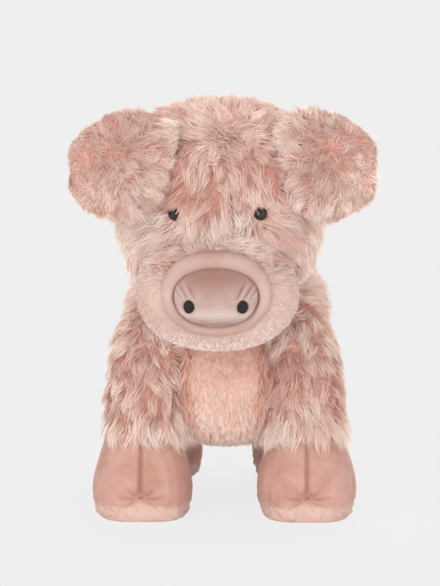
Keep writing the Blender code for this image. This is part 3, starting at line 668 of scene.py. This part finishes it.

# %% [markdown]
# ## The snout's pad
# The pad leans back at its top and bulges at its lower lip, with three little pleats above each nostril.
# How far up the pad a point lies, from -1 to 1, shapes it and sets where it is painted: the roll's painted
# shadow on the top, a painted highlight on the lower lip with painted shade in the line under it, and
# painted shade in each pleat with a painted sheen beside it.

# %% The pad
# How far out each pleat is from the middle, and how much it leans outward
PLEATS = ((0.0170, 0.50), (0.0225, 0.65), (0.0265, 0.80))
PLEAT_FOOT_Z, PLEAT_WIDTH, PLEAT_DEPTH, PLEAT_SHEEN = 0.200, 0.0013, 0.0020, 0.0025
LEAN_BACK, CHIN_FORWARD, LIP_BULGE = 0.007, 0.0015, 0.0028
PAD_WIDER, PAD_CORE = 0.0013, 0.015

snout_pad = cover("snout_front", "snout_pad", "head", pad_velvet, voxel=0.0012, rounds=6, puff=0.0009)
low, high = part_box("snout_pad")
centre = (low + high) / 2
points = vertex_rows(snout_pad.data)
outwards = (points - centre) * [1, 0, 1]
far = np.linalg.norm(outwards, axis=1, keepdims=True)
points += PAD_WIDER * outwards / far * (far > PAD_CORE)
x, up = points[:, 0] - centre.x, (points[:, 2] - centre.z) / ((high.z - low.z) / 2)
front = ramp(points[:, 1], high.y, low.y - high.y)
points[:, 1] += front * (LEAN_BACK * ramp(up, -0.1, 1) - CHIN_FORWARD * ramp(up, 0, -1))
points[:, 1] -= front * LIP_BULGE * bell(up + 0.66, 0.2)
# Painted shadow of the roll on top, a painted highlight on the lower lip, painted shade in the line below it
fold = 0.75 * ramp(up, -0.25, 1) ** 1.2 - 0.9 * bell(up + 0.62, 0.25)
fold += 0.8 * bell(up + 0.97, 0.07)
fade = ramp(up, -0.15, 0.2) * ramp(up, 0.6, -0.3)
for side in (-1, 1):
    for at, lean in PLEATS:
        beside = side * x - at - lean * (points[:, 2] - PLEAT_FOOT_Z)
        points[:, 1] += front * PLEAT_DEPTH * fade * bell(beside, PLEAT_WIDTH)
        # Painted shade in the pleat, and a painted sheen beside it
        fold += 0.4 * fade * bell(beside, 0.0012)
        fold -= 0.8 * fade * bell(beside - PLEAT_SHEEN, 0.0012)
paint_shading(snout_pad, fold * front)
move_points(snout_pad, points)
print("pad depth:", round(high.y - low.y, 4), "faces:", len(snout_pad.data.polygons))

# %% [markdown]
# ## Nostrils
# They're sewn on in satin stitch. Each is its own piece of thread, not a dark spot on the pad.

# %% The nostrils
for side in SIDES:
    cover("nostril_patch_" + side, "nostril_" + side, "head", stitch, voxel=0.0006, rounds=3)
print("nostrils:", len(SIDES))

# %% [markdown]
# ## Eyes
# The eyes are black plastic buttons, each held behind the cover by a washer. Their solids are round and
# fine enough, so they stay, and get only their own plastic.

# %% Eyes and washers
for side in SIDES:
    for node, finish in (("eye_" + side, eye_plastic), ("eye_washer_" + side, washer_plastic)):
        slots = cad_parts[node].data.materials
        slots.clear()
        slots.append(finish)

# %% [markdown]
# ## Where fur can grow
# Where two pads press together, fur is flattened out of sight, and locks rooted there would push through
# the other pad. So a root is placed only where a short ray straight out of the cloth hits nothing.

# %% What lies over the cloth
ROOT_CLEAR = 0.0006
covers = [o for o in bpy.data.objects if o.type == "MESH" and "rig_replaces" in o]
trees = []
for obj in covers:
    points = vertex_rows(obj.data)
    trees.append((surface_tree(obj.data), points.min(0), points.max(0)))
print("covers to look past:", len(trees))


def sky_over(points, normals, clear):
    """True where nothing lies within this distance straight out from the cloth."""
    found = np.ones(len(points), bool)
    for tree, low, high in trees:
        near = found & (points > low - clear).all(1) & (points < high + clear).all(1)
        for k in np.flatnonzero(near):
            hit = tree.ray_cast(Vector(points[k] + normals[k] * ROOT_CLEAR), Vector(normals[k]), clear)
            found[k] = hit[0] is None
    return found


# %% Random places on open cloth
open_cloth = {}
TO_SQUARE_CM = 1e4


def cloth_faces(cloth, clear):
    """A cloth's triangles: their corners, middles, facings, and areas where they are open to the air."""
    if (cloth.name, clear) not in open_cloth:
        mesh = cloth.data
        mesh.calc_loop_triangles()
        corners = np.empty(len(mesh.loop_triangles) * 3, np.int32)
        mesh.loop_triangles.foreach_get("vertices", corners)
        corners = corners.reshape(-1, 3)
        points, normals = vertex_rows(mesh), vertex_rows(mesh, "normal")
        one, two, three = (points[corners[:, k]] for k in range(3))
        area = np.linalg.norm(np.cross(two - one, three - one), axis=1) / 2
        facing = normals[corners].mean(1)
        facing /= np.linalg.norm(facing, axis=1)[:, None]
        middle = points[corners].mean(1)
        area = area * sky_over(middle, facing, clear)
        open_cloth[cloth.name, clear] = one, two, three, middle, facing, area
    return open_cloth[cloth.name, clear]


def scatter(cloth, seed, clear, count=None, density=None, most=None, keep=None):
    """Random places on a cloth, and the way that each faces: a count, or so many to a square centimetre."""
    draw = np.random.default_rng(seed)
    one, two, three, middle, facing, area = cloth_faces(cloth, clear)
    area = area * keep(middle) if keep else area
    if density:
        count = int(min(most, density * area.sum() * TO_SQUARE_CM))
    chosen = draw.choice(len(area), count, p=area / area.sum())
    a, b = draw.random(count), draw.random(count)
    flip = a + b > 1
    a[flip], b[flip] = 1 - a[flip], 1 - b[flip]
    spots = one[chosen] + (two - one)[chosen] * a[:, None] + (three - one)[chosen] * b[:, None]
    return spots, facing[chosen]


# %% [markdown]
# ## Blades
# Real pile is thousands of fine fibres. One blade, a mesh strip of a few faces that ends in a point,
# stands for a few of them. A coat's blades go into one mesh at once, through arrays, because a loop over
# each would take minutes.


# %% A mesh of blades
def unit(vectors):
    return vectors / np.maximum(np.linalg.norm(vectors, axis=-1, keepdims=True), 1e-9)


def blade_corners(steps):
    """The corners of one blade's faces, and how many corners each face has."""
    quads = np.array([[2 * k, 2 * k + 1, 2 * k + 3, 2 * k + 2] for k in range(steps - 1)]).ravel()
    corners = np.concatenate([quads, [2 * steps - 2, 2 * steps - 1, 2 * steps]])
    return corners, np.array([4] * (steps - 1) + [3])


def map_blades(mesh, corners, steps, shades):
    """Puts each blade on its strip of the OFBake map."""
    across = np.where(corners % 2 == 0, -0.4, 0.4)
    across[-1] = 0
    strips = np.floor(np.clip(shades, 0, 0.9999) * SHADES)
    u = (strips[:, None] + 0.5 + across[None]) / SHADES
    v = 0.02 + 0.96 * np.tile((corners // 2) / steps, (len(shades), 1))
    layer = mesh.uv_layers.new(name="OFBake")
    layer.data.foreach_set("uv", np.stack([u, v], -1).astype(np.float32).ravel())


def blades_mesh(name, path, side, width, shades):
    """Strips along paths (blade, point, xyz), as wide as width at the root and narrowing to a tip."""
    count, steps = path.shape[0], path.shape[1] - 1
    taper = (1 - np.linspace(0, 1, steps + 1) ** 1.8)[None, :, None]
    half = side * width[:, None, None] / 2 * taper
    left, right = path - half, path + half
    verts = np.concatenate([np.stack([left, right], 2)[:, :-1].reshape(count, -1, 3), path[:, -1:]], 1)
    per = 2 * steps + 1
    corners, sizes = blade_corners(steps)
    loops = (corners[None] + per * np.arange(count)[:, None]).ravel()
    totals = np.tile(sizes, count)

    mesh = bpy.data.meshes.new(name)
    mesh.vertices.add(count * per)
    mesh.vertices.foreach_set("co", verts.astype(np.float32).ravel())
    mesh.loops.add(len(loops))
    mesh.loops.foreach_set("vertex_index", loops.astype(np.int32))
    mesh.polygons.add(len(totals))
    starts = np.concatenate([[0], np.cumsum(totals)[:-1]])
    mesh.polygons.foreach_set("loop_start", starts.astype(np.int32))
    mesh.polygons.foreach_set("loop_total", totals.astype(np.int32))
    mesh.update(calc_edges=True)
    mesh.shade_smooth()
    map_blades(mesh, corners, steps, shades)
    return mesh


# %% [markdown]
# ## Locks
# Plush clumps into locks: bundles of blades that leave the cloth together, bend over the way the fur was
# brushed, wave and come together at the tip. First each lock gets a guide down its middle. Neighbouring
# guides are drawn together into tufts, then the blades are laid along them.

# %% The line down each lock
ROOT_DEPTH = 0.0008


def lock_guides(draw, spots, facing, comb, sideways, length, steps, lift, wave, droop):
    """Lines that leave the cloth, bend over along comb, wave sideways and droop."""
    count = len(spots)
    phase, turns = draw.uniform(0, 2 * math.pi, count), draw.uniform(0.5, 1.1, count)
    swing = wave * draw.uniform(0.4, 1.5, count)
    stand = lift * draw.uniform(0.6, 1.4, count)
    guide = [spots - facing * ROOT_DEPTH]
    for k in range(steps):
        t = (k + 0.5) / steps
        curl = swing * np.sin(phase + 2 * math.pi * turns * t)
        rise = stand * (1 - t) ** 1.3 + 0.14
        way = facing * rise[:, None] + comb * (0.4 + 0.6 * t) + sideways * curl[:, None]
        way = way + np.array([0, 0, -droop * t])
        guide.append(guide[-1] + unit(way) * (length / steps)[:, None])
    return np.stack(guide, 1)


def nearest(points, targets):
    """The index of the target that lies closest to each point."""
    return np.array([np.argmin(((targets - point) ** 2).sum(1)) for point in points])


def draw_tufts(draw, spots, guide, tone, tuft, gather):
    """Draws each guide towards its nearest leader, and gives the tuft a shade of its own."""
    count, t = len(spots), np.linspace(0, 1, guide.shape[1])
    leaders = draw.choice(count, max(1, count // tuft), replace=False)
    leader = leaders[nearest(spots, spots[leaders])]
    guide += (guide[leader] - guide) * (gather * t ** 1.2)[None, :, None]
    tone += 0.22 * draw.normal(size=count)[leader]


# %% The blades of each lock
def blade_paths(draw, guide, lot, comb, sideways, length, lock, pinch, loose):
    """Each blade's line: part of its lock's guide, set off to one side, closing in towards the tip."""
    total, steps = len(lot), guide.shape[1] - 1
    t = np.linspace(0, 1, steps + 1)
    reach = draw.uniform(0.55, 1.0, total)
    at = np.clip(t[None] * reach[:, None] * steps, 0, steps - 1e-6)
    low = at.astype(int)
    part = (at - low)[..., None]
    path = guide[lot[:, None], low] * (1 - part) + guide[lot[:, None], low + 1] * part
    turn, far = draw.uniform(0, 2 * math.pi, total), lock * np.sqrt(draw.random(total))
    off = comb[lot] * (np.cos(turn) * far)[:, None] + sideways[lot] * (np.sin(turn) * far)[:, None]
    path += off[:, None] * (1 - pinch * t)[None, :, None]
    stray = draw.normal(size=(total, 3)) * loose * length[lot][:, None] * 0.25
    path += stray[:, None] * (t ** 1.5)[None, :, None]
    return path


def blade_sides(draw, path, facing):
    """The way across each blade: mostly flat on the cloth, with a twist."""
    way = unit(path[:, -1] - path[:, 0])
    flat = unit(np.cross(way, facing + 0.3 * draw.normal(size=(len(path), 3))))
    twist = draw.uniform(-1.0, 1.0, len(path))[:, None]
    return flat * np.cos(twist) + np.cross(way, flat) * np.sin(twist)


def locks(name, body, slot, spots, facing, comb, length, finish, seed, *, blades, steps, lock=0.0055,
          width=0.00055, lift=0.5, wave=0.35, pinch=0.55, loose=0.18, droop=0.15, tuft=5, gather=0.45,
          pale=None):
    """Locks of fur from these spots, brushed along comb, with about tuft locks drawn to each other.
    Where pale is given, it says how much paler, or below 0 how much darker, the fur is at a spot;
    some coats use it for painted light and shade."""
    draw = np.random.default_rng(seed)
    count = len(spots)
    comb = unit(comb - (comb * facing).sum(1, keepdims=True) * facing)
    sideways = np.cross(facing, comb)
    length = length * draw.uniform(0.8, 1.15, count)
    guide = lock_guides(draw, spots, facing, comb, sideways, length, steps, lift, wave, droop)
    tone = 0.5 + 0.18 * drift(spots, 0.03, 7) + 0.16 * draw.normal(size=count)
    if pale:
        tone += pale(spots)
    if tuft:
        draw_tufts(draw, spots, guide, tone, tuft, gather)

    lot = np.repeat(np.arange(count), blades)
    path = blade_paths(draw, guide, lot, comb, sideways, length, lock, pinch, loose)
    side = blade_sides(draw, path, facing[lot])
    tones = tone[lot] + 0.08 * draw.normal(size=len(lot))
    wide = width * draw.uniform(0.6, 1.3, len(lot))
    mesh = blades_mesh(name, path, side[:, None], wide, tones)
    mesh.materials.append(finish)
    obj = bpy.data.objects.new(name, mesh)
    bpy.context.scene.collection.objects.link(obj)
    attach(obj, body)
    print(name, "blades:", len(lot), "triangles:", len(lot) * (2 * steps - 1))


# %% [markdown]
# ## Coats
# A coat is locks over a skin or a part of it, with a way to be brushed, a length and a finish. Long locks
# alone let the cloth shine through, so most skins first get an undercoat of short thick fur.

# %% A coat of fur
MOST_TRIANGLES = 198000


def coat(name, key, keep, comb, length, finish, seed, density=4, clear=0.004, blades=22, steps=5, slot=None,
         **shape):
    """Fur over part of a skin: density locks to a square centimetre."""
    cloth, body, node = skins[key]
    most = MOST_TRIANGLES // ((2 * steps - 1) * blades)
    spots, facing = scatter(cloth, seed, clear, density=density, most=most, keep=keep)
    locks(name, body, slot or node, spots, facing, comb(spots), length(spots), finish, seed + 1,
          blades=blades, steps=steps, **shape)


def even(value):
    """The same value at every place."""
    return lambda p: np.full(len(p), value)


def straight(x, y, z):
    """The same way to be brushed at every place."""
    return lambda p: np.tile([x, y, z], (len(p), 1))


def swirls(points, size, seed):
    """A random direction at each point that turns slowly over the cloth."""
    return np.stack([drift(points, size, seed + k) for k in range(3)], 1)


# %% An undercoat that spares the eyes
EYES = [np.array(sum(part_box("eye_" + side), Vector()) / 2) for side in SIDES]
EYE_EDGE, SHORTEST_SHARE = 0.004, 0.16


def clear_of_eyes(points, reach=0.018):
    """The share of its length that fur may have, so that no lock hides an eye."""
    away = np.min([np.linalg.norm(points - eye, axis=1) for eye in EYES], 0)
    return np.clip((away - EYE_EDGE) / (reach - EYE_EDGE), SHORTEST_SHARE, 1)


def undercoat(name, key, comb, seed, keep=None, density=7, tall=0.009):
    """Short thick fur that hides the cloth between the locks."""
    coat(name, key, keep, comb, lambda p: tall * clear_of_eyes(p), under_fur, seed, density=density,
         clear=0.002, blades=7, steps=3, lock=0.0032, width=0.0007, lift=1.0, wave=0.4, pinch=0.1,
         loose=0.3, tuft=0)


print("eyes at", [[round(v, 3) for v in eye] for eye in EYES])

# %% [markdown]
# ## The head's fur
# It runs from a whorl high on the forehead, parts between the eyes and falls over the top of the muzzle.
# Round the eyes it's short. It could be combed by hand, but a rule gives the same coat each time: away
# from the whorl, mixed with the parting, and stirred by slow swirls.

# %% How the head is brushed
WHORL = np.array([0.003, -0.135, 0.325])
PARTING_WIDTH = 0.035


def parted(points, fall):
    """Outward to both sides of the face, and down by fall."""
    across = (points[:, 0] - SNOUT[0]) / PARTING_WIDTH
    return unit(np.stack([across, np.full(len(points), -0.2), np.full(len(points), -fall)], 1))


def head_comb(points):
    """Away from the whorl, and down and outward round the muzzle."""
    near = 0.85 * bell(points[:, 2] - 0.25, 0.035) * (points[:, 1] < -0.11)
    way = unit(points - WHORL) * (1 - near)[:, None] + parted(points, 0.55) * near[:, None]
    way[:, 2] -= 0.4 * ramp(points[:, 2], 0.325, -0.02)
    way += 0.35 * swirls(points, 0.04, 11)
    for eye in EYES:
        away = points - eye
        way += 1.6 * unit(away) * bell(np.linalg.norm(away, axis=1), 0.012)[:, None]
    return way


# %% Where the head's fur is short, and where light and shade are painted on it
def spot(points, centre, size):
    """1 at a place, falling off to 0 over about this size."""
    return bell(np.linalg.norm(points - np.array(centre), axis=1), size)


# Places and their sizes: the clefts between the ears and the crown, and patches of painted shade with
# how dark they are
RIGHT_CLEFT = (((-0.040, -0.125, 0.328), 0.014), ((-0.044, -0.130, 0.304), 0.014))
LEFT_CLEFT = (((0.050, -0.115, 0.325), 0.012), ((0.054, -0.125, 0.302), 0.012))
SHADE_PATCHES = (
    ((-0.016, -0.15, 0.305), 0.020, 1), ((0.040, -0.14, 0.300), 0.020, 1), ((0.050, -0.145, 0.247), 0.018, 2.4),
)
BRIDGE = (-0.003, -0.16, 0.272)


def beside_ears(points):
    """Near 1 in the clefts between the ears and the crown."""
    right, left = (sum(spot(points, *place) for place in cleft) for cleft in (RIGHT_CLEFT, LEFT_CLEFT))
    return np.clip(right + left, 0, 1)


def head_length(points):
    return 0.020 * clear_of_eyes(points) * (1 - 0.6 * beside_ears(points))


def head_shading(points):
    """Painted light on the cheeks, a painted highlight on the crown and the bridge, darker round the eyes,
    and painted shade in patches and in the clefts between the ears and the crown.
    """
    cheek = ramp(np.abs(points[:, 0]), 0.055, 0.012) * ramp(points[:, 2], 0.265, -0.02)
    crown = ramp(points[:, 2], 0.335, 0.015)
    dark = sum(much * spot(points, place, size) for place, size, much in SHADE_PATCHES)
    near_eyes = sum(spot(points, eye, 0.014) for eye in EYES)
    ridge = spot(points, BRIDGE, 0.016)
    return 0.85 * cheek + 0.45 * crown + 0.4 * ridge - 0.25 * dark - 0.3 * near_eyes - 0.9 * beside_ears(points)


# %% The head's coats
FACE_Y, CROWN_Z = -0.10, 0.27
BROW_LOW, BROW_HIGH, BROW_HALF = 0.236, 0.268, 0.060
MUZZLE_TOP_Z, MUZZLE_FRONT_Y = 0.226, -0.160


def on_face(p):
    return p[:, 1] < FACE_Y


def on_brow(p):
    inside = (p[:, 2] > BROW_LOW) & (p[:, 2] < BROW_HIGH) & (np.abs(p[:, 0] - SNOUT[0]) < BROW_HALF)
    return on_face(p) & inside


def on_side(p, side, middle):
    return p[:, 0] > middle if side == "left" else p[:, 0] <= middle


HEAD_AREAS = {
    "face": lambda p: on_face(p) & ~on_brow(p),
    "crown": lambda p: ~on_face(p) & (p[:, 2] > CROWN_Z),
    "nape": lambda p: ~on_face(p) & (p[:, 2] <= CROWN_Z),
}
undercoat("head_underfur", "head", head_comb, 205)
seed = 200
for area, inside in HEAD_AREAS.items():
    for side in SIDES:
        coat(f"head_fur_{area}_{side}", "head", lambda p: inside(p) & on_side(p, side, SNOUT[0]), head_comb,
             head_length, long_fur, seed, pale=head_shading)
        seed += 10
coat("head_fur_whorl", "head", lambda p: np.linalg.norm(p - WHORL, axis=1) < 0.024,
     lambda p: swirls(p, 0.02, 270), even(0.014), long_fur, 280, density=6, lift=1.2, tuft=0)
# Painted shade: the brow's fur is painted darker round (0.044, -0.150, 0.250)
coat("head_fur_brow", "head", on_brow, head_comb, lambda p: 0.025 * clear_of_eyes(p), brow_fur, 250,
     density=7, lift=0.8, wave=0.5, droop=0.1, pale=lambda p: -0.7 * spot(p, (0.044, -0.150, 0.250), 0.018))
coat("muzzle_fur_top", "muzzle", lambda p: (p[:, 2] > MUZZLE_TOP_Z) & (p[:, 1] > MUZZLE_FRONT_Y),
     lambda p: parted(p, 0.5) + 0.6 * swirls(p, 0.02, 290), even(0.016), brow_fur, 260,
     density=8, clear=0.001, lift=0.8, wave=0.7, pale=even(-0.15))

# %% [markdown]
# ## The neck's fur
# The sewn covers of head and body meet over the neck, so fur runs on there. The neck nods with the head,
# and the head turns on it, so a coat of its own keeps the gap closed.

# %% Neck fur
coat("neck_fur", "neck", None, straight(0, 0.4, -1.0), even(0.018), long_fur, 296, density=7, clear=0,
     slot="head_cover", lift=0.9)

# %% [markdown]
# ## The body's fur
# It runs back from the neck and down the sides, a little longer on the shoulders. One coat would be too
# many faces for one piece, so it's made in four quarters, without the short-piled chest.

# %% Body fur
BODY_MIDDLE_Y = 0.04
CHEST_HALF, CHEST_TOP_Z = 0.052, 0.165
BODY_FUR, SHOULDER_MORE, SHOULDER_Z = 0.021, 0.006, 0.16


def body_comb(points):
    way = np.stack([points[:, 0] * 4, np.full(len(points), 0.7), -0.9 - 2 * np.abs(points[:, 0])], 1)
    return way + 0.5 * swirls(points, 0.05, 41)


def body_length(points):
    """Longer at the shoulders, where it stands out past the neck."""
    return BODY_FUR + SHOULDER_MORE * ramp(points[:, 2], SHOULDER_Z, 0.03)


def on_chest(p):
    return (np.abs(p[:, 0]) < CHEST_HALF) & (p[:, 2] < CHEST_TOP_Z) & (p[:, 1] < 0.0)


BODY_AREAS = {
    "front": lambda p: (p[:, 1] < BODY_MIDDLE_Y) & ~on_chest(p),
    "rear": lambda p: p[:, 1] >= BODY_MIDDLE_Y,
}
for seed, (area, inside) in enumerate(BODY_AREAS.items(), 305):
    undercoat("body_underfur_" + area, "body", body_comb, seed, keep=inside)
seed = 300
for area, inside in BODY_AREAS.items():
    for side in SIDES:
        # Painted light: all the body's fur is painted paler, lifting the head's shade on the shoulders
        coat(f"body_fur_{area}_{side}", "body", lambda p: inside(p) & on_side(p, side, 0), body_comb,
             body_length, long_fur, seed, density=3, lift=0.8, pale=even(0.35))
        seed += 10

# %% [markdown]
# ## The legs' fur
# It hangs, and ends in a fringe that turns out over the hoof. The fringe is a coat of its own, longer,
# paler and thicker.

# %% Leg fur
HEM_SHARE = 0.12
LEG_FUR, FRINGE_SHARE = 0.020, 1.6
LEG_TOP_Z = 0.135


def leg_coat(leg, seed):
    low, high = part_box(f"leg_{leg}_sleeve")
    middle = (low.x + high.x) / 2

    def comb(points):
        way = np.stack([(points[:, 0] - middle) * 6, np.zeros(len(points)), np.full(len(points), -1.0)], 1)
        return way + 0.42 * swirls(points, 0.035, 71 + seed)

    def above_hem(points):
        return (points[:, 2] - low.z) / (high.z - low.z) > HEM_SHARE

    undercoat(leg + "_underfur", leg, comb, seed + 3, density=5)
    # Painted light: the fur is painted paler at the top of the leg, where the head shades the shoulders
    coat(leg + "_fur", leg, above_hem, comb, even(LEG_FUR), long_fur, seed, density=3.6, clear=0.002,
         gather=0.6, pinch=0.65, wave=0.45, lift=0.6, pale=lambda p: 0.5 * ramp(p[:, 2], LEG_TOP_Z, 0.02))
    coat(leg + "_fringe", leg, lambda p: ~above_hem(p), comb, even(FRINGE_SHARE * LEG_FUR), hem_fur,
         seed + 5, density=8, clear=0.001, lift=0.6, wave=0.7, droop=0.35, gather=0.6)


for seed, leg in enumerate(LEGS):
    leg_coat(leg, 400 + 10 * seed)

# %% [markdown]
# ## The ears' fur
# On each ear the fur turns out of a darker whorl near its middle. It's shorter towards the tip and the
# upper edge, or the ear would lose its outline, and longer at its peak.

# %% Ear fur
EAR_FUR = 0.0135
EAR_SEEDS = {"left": 520, "right": 500}


def ear_coat(side, layer, seed):
    sign = 1 if side == "left" else -1
    low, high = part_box(f"ear_{side}_front")
    whorl = np.array((0.087 * sign, (low.y + high.y) / 2, 0.318))

    def comb(points):
        return unit(points - whorl) + 0.6 * swirls(points, 0.025, 101 + seed) + [0, 0, -0.25]

    def length(points):
        """Clipped shorter towards the tip and the top edge."""
        out, z = points[:, 0] * sign, points[:, 2]
        tip = ramp(out, 0.080, 0.03)
        top = ramp(z, 0.325, 0.02) * ramp(out, 0.066, 0.02)
        peak = spot(points, (0.058 * sign, whorl[1], 0.345), 0.016)
        return EAR_FUR * clear_of_eyes(points, 0.03) * (1 - 0.5 * np.maximum(tip, top) + 0.4 * peak)

    def pale(points):
        """Darker round the whorl, and pale along the edge."""
        return 0.15 - 0.85 * bell(np.linalg.norm((points - whorl)[:, [0, 2]], axis=1), 0.024)

    key = f"ear_{side}_{layer}"
    undercoat(key + "_underfur", key, comb, seed + 3, tall=0.006)
    coat(key + "_fur", key, None, comb, length, ear_fur, seed, density=7, clear=0.003, lift=0.6, wave=0.6,
         droop=0, pale=pale)


for side in SIDES:
    ear_coat(side, "front", EAR_SEEDS[side])
    ear_coat(side, "back", EAR_SEEDS[side] + 10)

# %% [markdown]
# ## Short pile
# The muzzle and the chest are a short-pile cloth without locks, so single blades are spread evenly:
# outward from the snout, and down on the chest, whose sides get a longer pile that hides the seam.

# %% Pile of the muzzle
cloth, body, node = skins["muzzle"]
spots, facing = scatter(cloth, 130, 0.002, count=13000)
# Painted light: the pile is painted paler towards the bottom of the muzzle, and a little darker elsewhere
locks("muzzle_pile", body, node, spots, facing, (spots - SNOUT) * [1, 1, 1.1] + [0, 0, -0.01],
      0.005 + 0.007 * ramp(spots[:, 2], 0.205, 0.03), muzzle_pile, 131,
      pale=lambda p: 0.7 * ramp(p[:, 2], 0.178, -0.02) - 0.1, blades=3, steps=3, lock=0.0014,
      width=0.0006, lift=0.25, wave=0.2, pinch=0.1, loose=0.12, droop=0.1, tuft=0)

# %% Pile of the chest
cloth, body, node = skins["belly"]
spots, facing = scatter(cloth, 140, 0.003, count=9000)
# Painted shadow under the muzzle: the pile is painted darker on the upper chest, and paler below
locks("belly_pile", body, node, spots, facing, straight(0, 0.2, -1.0)(spots), even(0.0085)(spots),
      chest_pile, 141, pale=lambda p: 0.3 - 1.1 * ramp(p[:, 2], 0.112, 0.02),
      blades=4, steps=3, lock=0.0018, width=0.0006, lift=0.6, wave=0.35, pinch=0.2, loose=0.2, tuft=0)
coat("chest_pile", "body", on_chest, straight(0, -0.2, -1.0), even(0.018), side_pile, 150, density=70,
     clear=0.0005, blades=4, steps=3, lock=0.002, width=0.0007, lift=0.8, wave=0.35, tuft=0)

# %% [markdown]
# ## The tail
# The tail is a thin stuffed tube of velvet. Its solid already curls, so it's only softened.

# %% The tail
tail = cover("tail_curl", "tail", "tail", hoof_velvet, voxel=0.0012, rounds=4)
print("tail:", len(tail.data.polygons), "faces")
